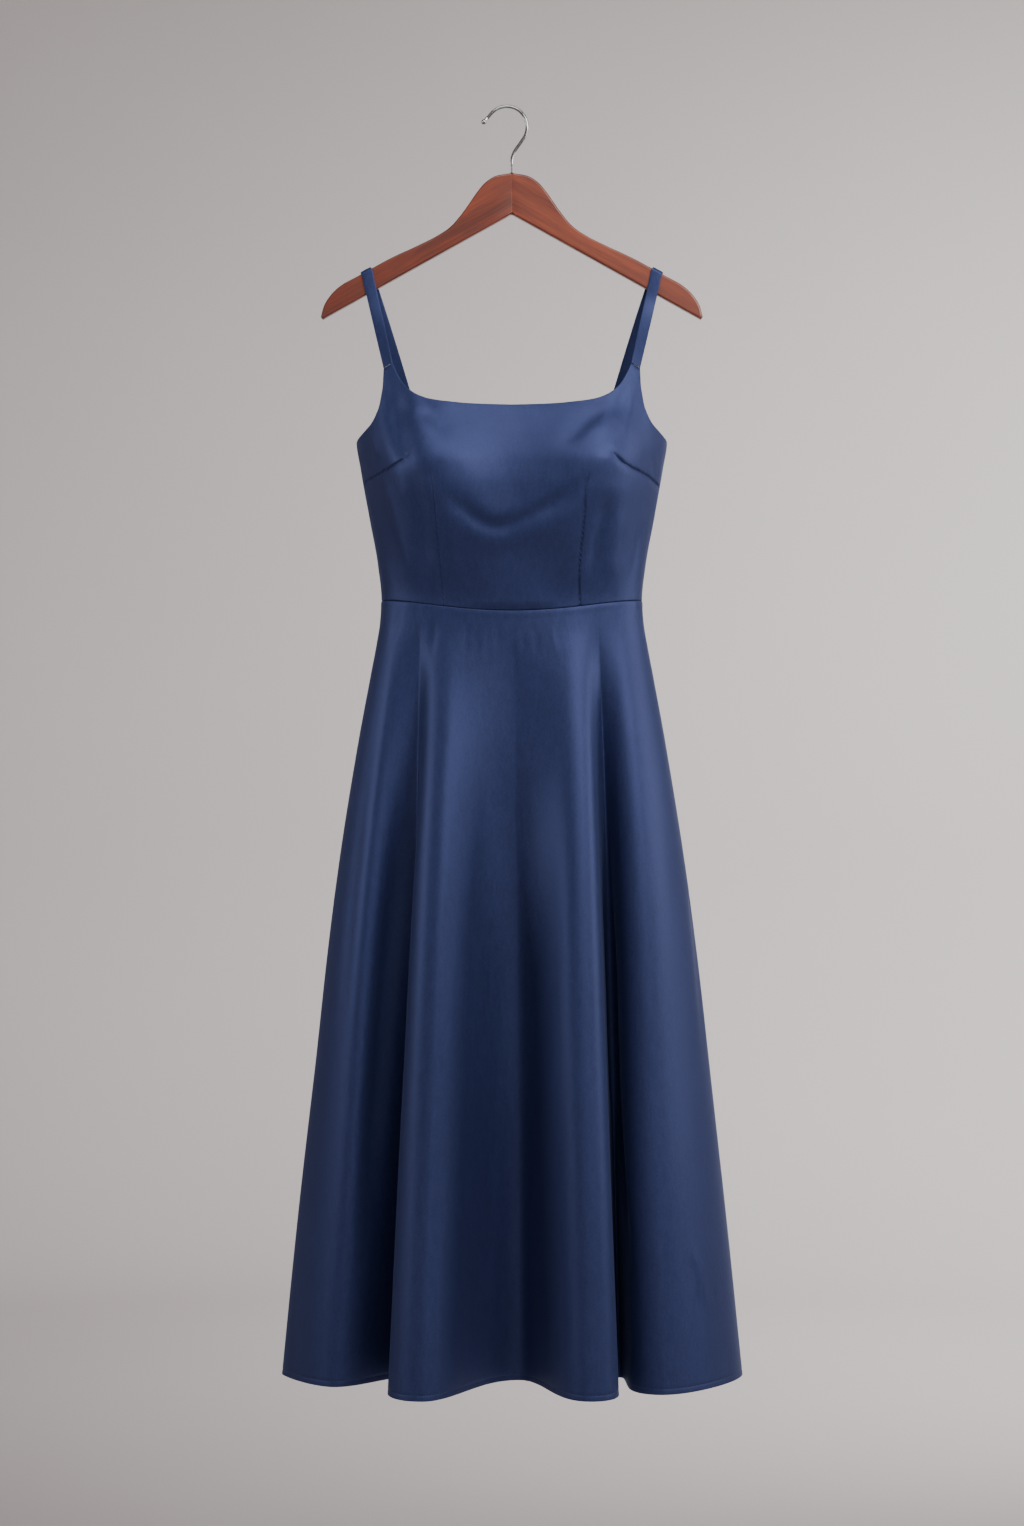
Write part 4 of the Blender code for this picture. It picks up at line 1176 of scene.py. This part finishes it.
    def stitches(self, panel: SkirtPanel, outer: Array, outward: Array,
                 thread: Material) -> Piece:
        """Sew the hem of a panel.

        Args:
            panel: the panel.
            outer: its outer points.
            outward: its outward directions.
            thread: the thread's material.

        Returns:
            One piece that holds all of its stitches.
        """
        row = len(outer) - 1 - self.hem_rows[::-1].index(self.stitch_height / MM)
        line = outer[row]
        length = arc_length(line)
        middles = np.arange(self.stitch_pitch, length[-1] - self.stitch_pitch, self.stitch_pitch)
        at = along_line(line, length, middles)
        ahead = along_line(line, length, middles + 0.4 * MM) - at
        ahead /= np.linalg.norm(ahead, axis=1, keepdims=True)
        out = np.column_stack([along_line(outward[row], length, middles), np.zeros(len(middles))])
        up = np.tile([0.0, 0.0, 1.0], (len(middles), 1))
        long, wide, tall = (size / 2.0 for size in self.stitch_size)
        template = [(-long, 0.0, -0.3 * tall)]
        for place, size in ((-0.6, 0.8), (0.0, 1.0), (0.6, 0.8)):
            for index in range(5):
                turn = 2.0 * math.pi * index / 5.0
                template.append((place * long, size * wide * math.cos(turn), size * tall * math.sin(turn)))
        template.append((long, 0.0, -0.3 * tall))
        shape = np.array(template)
        sides = [(0, 1 + (i + 1) % 5, 1 + i) for i in range(5)]
        sides += [(16, 11 + i, 11 + (i + 1) % 5) for i in range(5)]
        sides += [(1 + r * 5 + i, 1 + r * 5 + (i + 1) % 5, 6 + r * 5 + (i + 1) % 5, 6 + r * 5 + i)
                  for r in range(2) for i in range(5)]
        axes = ((ahead, shape[:, 0]), (up, shape[:, 1]), (out, shape[:, 2] + 0.10 * MM))
        points = at[:, None, :] + sum(axis[:, None, :] * size[None, :, None] for axis, size in axes)
        faces = [tuple(index + start * len(shape) for index in side)
                 for start in range(len(at)) for side in sides]
        mesh = bpy.data.meshes.new(panel.name + "_hem_stitches")
        mesh.from_pydata(points.reshape(-1, 3).tolist(), [], faces)
        mesh.shade_smooth()
        return set_in_place(panel.name + "_hem_stitches", mesh, thread)


@dataclass(frozen=True)
class Strap:
    """One shoulder strap, a turned tube pressed flat, from the front seam over the hanger to the back."""

    form: BodiceForm
    bodice: Bodice
    name: str
    sign: float
    streaks: tuple[tuple[float, float, float], ...]
    thickness: float = 2.0 * MM
    width: float = 13.5 * MM
    tilt: float = math.radians(29.0)
    lift: float = 0.3 * MM
    stations: tuple[Station, ...] = rows_of(Station,
        (161.2, -7.3, -213.5), (164, -7.3, -201), (166.2, -7.3, -190.6),
        (167.5, -6.2, -188.3), (168, -3.6, -187.4), (168, 3.6, -187.4),
        (167.5, 6.2, -188.3), (166.2, 7.3, -190.6), (162.8, 7.3, -201),
        (158.9, 7.3, -212.3),
    )
    step: float = 2.2 * MM
    around: int = 28
    corner_power: float = 0.42
    seam_rows: tuple[float, float] = (0.3 * MM, 0.9 * MM)
    end_pinch: float = 0.28
    gather_height: float = 0.16
    gather_turns: float = 9.0
    gather_reach: float = 7.0 * MM
    drift: float = 0.12
    drift_length: float = 47.0 * MM
    swell_length: float = 31.0 * MM

    def seam_section(self, rows: Sequence[EdgePoint], side: Side) -> list[Array]:
        """An end section of four corners, on the last point of two cut edges."""
        corners = []
        for row in rows:
            height = np.array([row.height * MM])
            angle = self.form.angle_of(row.x * MM, height)
            plan = self.form.point(angle, height, side)[0]
            flat = self.form.normal(angle, height, side)[0] * np.array([1.0, 1.0, 0.0])
            flat /= np.linalg.norm(flat)
            middle = plan - flat * self.bodice.wall / 2.0 + np.array([0.0, 0.0, self.lift])
            corners.append((middle + flat * self.thickness / 2.0, middle - flat * self.thickness / 2.0))
        return [corners[0][0], corners[1][0], corners[1][1], corners[0][1]]

    def sections(self) -> Array:
        """All sections of four corners, from the front seam to the back one."""
        centres = [Vector(station) * MM for station in self.stations]
        across = Vector((-math.cos(self.tilt), 0.0, math.sin(self.tilt)))
        front = self.seam_section((self.bodice.neck_edge[-1], self.bodice.armhole_edge[-1]), Side.FRONT)
        back = self.seam_section((self.bodice.back_neck_edge[-1], self.bodice.back_arm_edge[-1]), Side.BACK)
        line = [Vector(np.mean(front, axis=0)), *centres, Vector(np.mean(back, axis=0))]
        found = [[Vector(corner) for corner in front]]
        for before, point, after in zip(line, line[1:], line[2:]):
            along = (point - before).normalized() + (after - point).normalized()
            outward = along.cross(across).normalized() * self.thickness / 2.0
            if outward.dot(point - Vector((point.x, 0.0, -0.23))) < 0.0:
                outward = -outward
            half = across * self.width / 2.0
            found.append([point + half + outward, point - half + outward, point - half - outward,
                          point + half - outward])
        found.append([Vector(corner) for corner in back])
        return np.array([[tuple(corner) for corner in four] for four in found])

    def build(self, finish: Material) -> Piece:
        """Make the strap."""
        rough = self.sections()
        chord = arc_length(rough.mean(axis=1))
        count = round(chord[-1] / self.step)
        at = np.unique(np.concatenate([np.linspace(0.0, chord[-1], count + 1), self.seam_rows,
                                       chord[-1] - np.array(self.seam_rows),
                                       np.linspace(chord[2], chord[9], 60)]))
        fine = np.empty((len(at), 4, 3))
        for corner in range(4):
            for axis in range(3):
                fine[:, corner, axis] = smooth(chord, rough[:, corner, axis], at)
        turn = np.linspace(0.0, 2.0 * math.pi, self.around, endpoint=False)
        u = np.sign(np.cos(turn)) * np.abs(np.cos(turn)) ** self.corner_power
        v = np.sign(np.sin(turn)) * np.abs(np.sin(turn)) ** self.corner_power
        rings = []
        for index, four in enumerate(fine):
            near = min(at[index], at[-1] - at[index])
            turned_in = float(rolled(np.array(near), self.seam_rows[1]) / self.seam_rows[1])
            pinch = 1.0 - self.end_pinch * turned_in
            wave = np.zeros(self.around)
            for place, size, length in self.streaks:
                drift = place + self.drift * math.sin(at[index] / self.drift_length + place * 5.0)
                swell = 0.7 + 0.3 * math.sin(at[index] / self.swell_length)
                wave += size * np.exp(-((u - drift) / length) ** 2) * swell
            gather = self.gather_height * np.sin(self.gather_turns * u + 1.0)
            wave += gather * math.exp(-near / self.gather_reach)
            shaped = v * pinch + wave * np.where(v > 0.0, 1.0, 0.4)
            left = four[0] * (1.0 + shaped[:, None]) / 2.0 + four[3] * (1.0 - shaped[:, None]) / 2.0
            right = four[1] * (1.0 + shaped[:, None]) / 2.0 + four[2] * (1.0 - shaped[:, None]) / 2.0
            rings.append(left * (1.0 + u[:, None]) / 2.0 + right * (1.0 - u[:, None]) / 2.0)
        points = np.vstack(rings) * np.array([self.sign, 1.0, 1.0])
        mesh = facing_out(self.name, points, ring_faces(len(rings), self.around), CLOTH_EDGE)
        piece = set_in_place("satin_" + self.name, mesh, finish, self.name)
        return piece


@dataclass(frozen=True)
class Zip:
    """The concealed zip at the centre back: its woven tape, its coil, its slider and its pull tab."""

    form: SkirtForm
    top: float = -398.0 * MM
    end: float = -762.0 * MM
    width: float = 24.0 * MM
    thickness: float = 0.8 * MM
    behind: float = 2.2 * MM
    back_hem_depth: float = 58.0 * MM
    tooth_pitch: float = 1.5 * MM
    tooth_shift: float = 0.5 * MM
    tooth_half: float = 0.45 * MM
    tooth_sections: tuple[tuple[float, float], ...] = (
        (-1.4 * MM, 0.35 * MM), (-0.7 * MM, 1.0 * MM), (0.7 * MM, 1.0 * MM), (1.4 * MM, 0.35 * MM),
    )
    coil_margin: float = 4.0 * MM
    row_step: float = 4.0 * MM

    def depth(self, height: float) -> float:
        """Depth of the cloth's outer face at the centre back, on the bodice or the skirt."""
        bodice = self.form.bodice
        seam = float(bodice.waist_height(np.array(0.0)))
        if height >= seam:
            return float(bodice.depth(np.array(0.0), np.array(height), Side.BACK))
        spread = float(self.form.spread(np.array((seam - height) / (seam - self.form.hem))))
        return (1.0 - spread) * float(bodice.depth(np.array(0.0), np.array(seam), Side.BACK)) + (
            spread * self.back_hem_depth)

    def build(self, tape: Material, metal: Material) -> None:
        """Make the tape and its coil, and give the slider and the pull tab their enamel."""
        heights = np.linspace(self.top, self.end, round((self.top - self.end) / self.row_step) + 1)
        across = np.linspace(-self.width / 2.0, self.width / 2.0, 9)
        outer = np.array([(x, self.depth(z) - self.behind, z) for z in heights for x in across])
        inner = outer - np.array([0.0, self.thickness, 0.0])
        count = len(across)
        faces = [(r * count + i, r * count + i + 1, (r + 1) * count + i + 1, (r + 1) * count + i)
                 for r in range(len(heights) - 1) for i in range(count - 1)]
        mesh = shell("zip_tape", outer, inner, faces)
        piece = set_in_place("woven_zip_tape", mesh, tape, "zip_tape")
        coil = self.coil(metal)
        for node in ("zip_slider", "zip_pull"):
            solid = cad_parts[node]
            solid.data.materials.clear()
            solid.data.materials.append(metal)

    def coil(self, metal: Material) -> Piece:
        """The closed coil on the tape's inner side, one short loop a tooth."""
        points: list[tuple[float, float, float]] = []
        faces: Faces = []
        heights = np.arange(self.top - self.coil_margin, self.end + self.coil_margin, -self.tooth_pitch)
        for index, z in enumerate(heights):
            y = self.depth(float(z)) - self.behind - self.thickness
            shift = self.tooth_shift if index % 2 else -self.tooth_shift
            start = len(points)
            for x, deep in self.tooth_sections:
                tall = self.tooth_half
                points += [(x + shift, y + 0.1 * MM, z + tall), (x + shift, y + 0.1 * MM, z - tall),
                           (x + shift, y - deep, z - tall * 0.6), (x + shift, y - deep, z + tall * 0.6)]
            for ring in range(3):
                for side in range(4):
                    a = start + ring * 4 + side
                    b = start + ring * 4 + (side + 1) % 4
                    faces.append((a, b, b + 4, a + 4))
            faces.append((start + 3, start + 2, start + 1, start))
            faces.append((start + 12, start + 13, start + 14, start + 15))
        mesh = bpy.data.meshes.new("zip_coil")
        mesh.from_pydata(points, [], faces)
        mesh.shade_smooth()
        mesh.set_sharp_from_angle(angle=math.radians(40.0))
        return set_in_place("zip_coil", mesh, metal)


@dataclass(frozen=True)
class Hanger:
    """The flat wooden hanger: two arms glued at the middle, and the wire hook set into the joint."""

    thickness: float = 12.0 * MM
    rounding: float = 2.4 * MM
    joint: float = 0.03 * MM
    low_start: float = -122.5 * MM
    low_slope: float = -0.5567
    contour: tuple[EdgePoint, ...] = rows_of(EdgePoint,
        (0, -75.3), (17.7, -78.4), (29.4, -85.3), (40.1, -97.3),
        (49.5, -110.9), (60.5, -125.9), (71.4, -137.8), (87.5, -148.4),
        (109.4, -159.3), (138.2, -172.7), (161.3, -185.1), (178, -194.4),
        (195.2, -203.8), (208.2, -215.5), (216.5, -229), (219.8, -241),
    )
    tip: EdgePoint = EdgePoint(217.6, -243.7)
    step: float = 2.6 * MM
    wire: float = 1.9 * MM
    hook_radius: float = 23.5 * MM
    hook_lower: float = math.radians(-35.0)
    hook_upper: float = math.radians(138.7)
    hook_tip: tuple[float, float] = (-26.3 * MM, -15.9 * MM)
    ball: float = 3.0 * MM
    bend_top: float = -47.0 * MM
    bend_end: float = -62.0 * MM
    stem_end: float = -96.0 * MM

    def arm(self, name: str, sign: float, finish: Material) -> Piece:
        """Make one arm.

        Args:
            name: the solid that it stands for.
            sign: 1 for the right arm, -1 for the left one.
            finish: its material.

        Returns:
            The piece.
        """
        top = resample([(row.x * MM, row.height * MM) for row in self.contour], self.step)
        top[0, 0] = self.joint
        tip = (self.tip.x * MM, self.tip.height * MM)
        low = [(tip[0] * part, self.low_start + self.low_slope * tip[0] * part)
               for part in np.linspace(0.97, 0.03, 24)]
        outline = [tuple(point) for point in top] + [tip, *low, (self.joint, self.low_start)]
        shape = bmesh.new()
        weight = shape.edges.layers.float.new("bevel_weight_edge")
        corners = [shape.verts.new((x * sign, -self.thickness / 2.0, z)) for x, z in outline]
        grown = bmesh.ops.extrude_face_region(shape, geom=[shape.faces.new(corners)])
        moved = [item for item in grown["geom"] if isinstance(item, bmesh.types.BMVert)]
        bmesh.ops.translate(shape, verts=moved, vec=(0.0, self.thickness, 0.0))
        bmesh.ops.recalc_face_normals(shape, faces=shape.faces)
        for edge in shape.edges:
            flat = abs(edge.verts[0].co.y - edge.verts[1].co.y) < self.wire
            inside = max(abs(vert.co.x) for vert in edge.verts) < 2.0 * self.joint
            edge[weight] = 1.0 if flat and not inside else 0.0
        mesh = bpy.data.meshes.new(name)
        shape.to_mesh(mesh)
        shape.free()
        mesh.shade_smooth()
        piece = set_in_place("wooden_" + name, mesh, finish, name)
        edges = piece.modifiers.new("rounded_edges", "BEVEL")
        edges.limit_method = "WEIGHT"
        edges.width = self.rounding
        edges.segments = 5
        edges.use_clamp_overlap = False
        tidy = piece.modifiers.new("face_weights", "WEIGHTED_NORMAL")
        tidy.keep_sharp = True
        return piece

    def hook_line(self) -> list[tuple[float, float, float]]:
        """The wire's centre line as (x, z, radius), from the ball to the end of the stem."""
        centre = (-CENTRE_X, -self.hook_radius + self.wire)
        tip = (self.hook_tip[0] - CENTRE_X, self.hook_tip[1])
        upper = (centre[0] + self.hook_radius * math.cos(self.hook_upper),
                 centre[1] + self.hook_radius * math.sin(self.hook_upper))
        lead = math.hypot(upper[0] - tip[0], upper[1] - tip[1])
        line = []
        for share in -np.cos(np.linspace(0.0, math.pi * 0.78, 14)):
            reach = share * self.ball / lead
            size = math.sqrt(max(1.0 - share ** 2, 0.0)) * self.ball
            least = self.wire if share > 0.0 else 0.02 * MM
            line.append((tip[0] + (upper[0] - tip[0]) * reach, tip[1] + (upper[1] - tip[1]) * reach,
                         max(size, least)))
        line.append((tip[0] + (upper[0] - tip[0]) * 0.55, tip[1] + (upper[1] - tip[1]) * 0.55, self.wire))
        for angle in np.linspace(self.hook_upper, self.hook_lower, 56):
            line.append((centre[0] + self.hook_radius * math.cos(angle),
                         centre[1] + self.hook_radius * math.sin(angle), self.wire))
        fall = np.array([math.sin(self.hook_lower), -math.cos(self.hook_lower)])
        start = np.array(line[-1][:2])
        bend = start + fall * (start[0] / -fall[0])
        high = start + fall * ((self.bend_top - start[1]) / fall[1])
        low = np.array([0.0, self.bend_end])
        for part in np.linspace(0.0, 1.0, 12):
            point = high * (1.0 - part) ** 2 + 2.0 * bend * part * (1.0 - part) + low * part ** 2
            line.append((point[0], point[1], self.wire))
        line.append((0.0, self.stem_end, self.wire))
        return line

    def hook(self, finish: Material) -> Piece:
        """Make the wire hook as one round tube."""
        line = np.array(self.hook_line())
        along = np.gradient(line[:, :2], axis=0)
        along /= np.linalg.norm(along, axis=1, keepdims=True)
        around = 24
        turn = np.linspace(0.0, 2.0 * math.pi, around, endpoint=False)
        points = []
        for (x, z, radius), (dx, dz) in zip(line, along):
            for angle in turn:
                side = radius * math.cos(angle)
                points.append((x - dz * side, radius * math.sin(angle), z + dx * side))
        mesh = facing_out("hanger_hook", points, ring_faces(len(line), around))
        return set_in_place("wire_hook", mesh, finish, "hanger_hook")

    def build(self) -> None:
        """Make the arms and the hook."""
        lean = math.atan(-self.low_slope)
        # The two arms are lit and shaded copies of one wood: the right one has lighter earlywood and tip
        # colours as painted light from the right, the left one a dark tip as painted shade.
        self.arm("hanger_arm_left", -1.0, WoodFinish("cherry_wood_left_painted_shade", lean).build())
        self.arm("hanger_arm_right", 1.0, WoodFinish("cherry_wood_right_painted_light", -lean, early=(0.232, 0.044, 0.016),
                                                     tip=(0.190, 0.040, 0.020)).build())
        self.hook(MetalFinish("bright_chrome", (0.36, 0.36, 0.365), 0.20).build())


FRONT_PANEL = SkirtPanel(
    "skirt_front", Side.FRONT,
    rows_of(Fold,
        ("side_left", -265, 0, 90, 0, 14, 0),
        ("lobe_left", -198, 76, -6, 26, 30, 0.110),
        ("valley_left", -119, 20, 5, 24, 14, 0.195),
        ("flute_left_edge", -139, 112, 92, 42, 22, 0.25),
        ("flute_left", -100, 157, 0, 24, 38, 0.300),
        ("valley_centre", 8, 36, 0, 46, 30, 0.505),
        ("flute_right", 86, 157, 2, 46, 20, 0.685),
        ("flute_right_edge", 119, 118, -92, 24, 44, 0.735),
        ("valley_right", 123, 21, 0, 7, 7, 0.785),
        ("lobe_right_edge", 131, 82, 84, 34, 16, 0.83),
        ("lobe_right", 168, 120, 0, 26, 36, 0.88),
        ("side_right", 266, 0, -90, 40, 0, 1),
    ),
    rows_of(Crease,
        ("under_waist_one", -0.42, 3.6, ((-47, -586), (-56, -628))),
        ("under_waist_two", 0.36, 4, ((-30, -586), (-35, -640))),
        ("under_waist_three", -0.42, 3.4, ((-14, -585), (-17, -622))),
        ("under_waist_four", 0.36, 4.2, ((6, -585), (7, -646))),
        ("under_waist_five", -0.42, 3.4, ((24, -586), (31, -628))),
        ("under_waist_six", 0.36, 4, ((42, -586), (54, -636))),
        ("left_small_streak", -1, 5, ((-127, -580), (-138, -622))),
        ("left_dart_streak", -1, 5.5, ((-86, -582), (-92, -640))),
        ("right_lobe_wrinkle", -1, 7, ((196, -1300), (210, -1352), (214, -1400))),
        ("right_lobe_ridge", 1, 8, ((204, -1290), (220, -1372))),
        ("left_valley_trough", -9, 16, ((-119, -680), (-130, -860), (-146, -1060), (-170, -1400))),
        ("right_valley_trough", -7, 13, ((101, -780), (107, -900), (116, -1060), (135, -1400))),
        ("centre_fill", 6.5, 26, ((0, -620), (3, -760), (6, -900), (8, -1040))),
        ("left_lobe_trough", -1.2, 10, ((-158, -720), (-180, -900), (-196, -1120))),
        ("right_side_trough", -1.2, 10, ((186, -760), (208, -940), (226, -1150))),
    ),
    (1.17, 0.93), 0.70,
)
STRAP_STREAKS = (
    ("strap_left", -1.0, ((0.15, 0.35, 0.22), (-0.5, 0.22, 0.18))),
    ("strap_right", 1.0, ((-0.2, 0.4, 0.16), (0.45, 0.3, 0.14), (0.1, -0.25, 0.1))),
)
BACK_CREASES = rows_of(Crease,
    ("waist_streak_one", -0.9, 5, ((28, -582), (31, -640))),
    ("waist_streak_two", 0.7, 5, ((56, -580), (62, -650))),
    ("waist_streak_three", -0.9, 5, ((92, -578), (104, -630))),
    ("hip_trough", -1.4, 12, ((70, -660), (88, -860), (98, -1080))),
    ("hip_ridge", 1.2, 12, ((120, -700), (150, -900), (176, -1160))),
    ("low_trough", -1.2, 11, ((190, -1120), (206, -1260), (214, -1410))),
)
LEFT_BACK_CREASES = tuple(
    crease._replace(rise=crease.rise * 0.9,
                    line=tuple((-0.93 * x - 4.0, height - 9.0) for x, height in crease.line))
    for crease in BACK_CREASES)
BACK_PANELS = (
    SkirtPanel(
        "skirt_back_left", Side.BACK,
        rows_of(Fold,
            ("side_left", -265, 0, 90, 0, 16, 0),
            ("back_lobe_left", -196, 88, 0, 34, 30, 0.12),
            ("back_valley_left", -136, 38, 0, 22, 20, 0.22),
            ("back_flute_left", -74, 152, 0, 34, 28, 0.35),
            ("back_seam", 0, 58, 0, 30, 0, 0.5),
        ),
        LEFT_BACK_CREASES, (0.50, 0.93), 0.29,
    ),
    SkirtPanel(
        "skirt_back_right", Side.BACK,
        rows_of(Fold,
            ("back_seam", 0, 58, 0, 0, 30, 0.5),
            ("back_flute_right", 82, 146, 0, 34, 32, 0.655),
            ("back_valley_right", 143, 42, 0, 22, 20, 0.785),
            ("back_lobe_right", 203, 92, 0, 30, 34, 0.885),
            ("side_right", 266, 0, -90, 18, 0, 1),
        ),
        BACK_CREASES, (0.50, 0.93), 0.29,
    ),
)


def main() -> None:
    """Build the studio, the hanger and the dress."""
    logging.basicConfig(level=logging.INFO, format="%(name)s: %(message)s")
    Studio().build()
    Hanger().build()
    satin = SatinFinish().build()
    thread = ThreadFinish("navy_thread", (0.030, 0.042, 0.115)).build()
    tape = ThreadFinish("woven_tape", (0.030, 0.042, 0.110), 1500.0, 0.8).build()
    enamel = MetalFinish("navy_enamel", (0.040, 0.055, 0.140), 0.32, 0.55).build()
    bodice_form = BodiceForm()
    bodice = Bodice(bodice_form)
    bodice.build(satin)
    skirt_form = SkirtForm(bodice_form)
    Skirt(skirt_form, (FRONT_PANEL, *BACK_PANELS)).build(satin, thread)
    for name, sign, streaks in STRAP_STREAKS:
        Strap(bodice_form, bodice, name, sign, streaks).build(satin)
    Zip(skirt_form).build(tape, enamel)


if __name__ == "__main__":
    main()
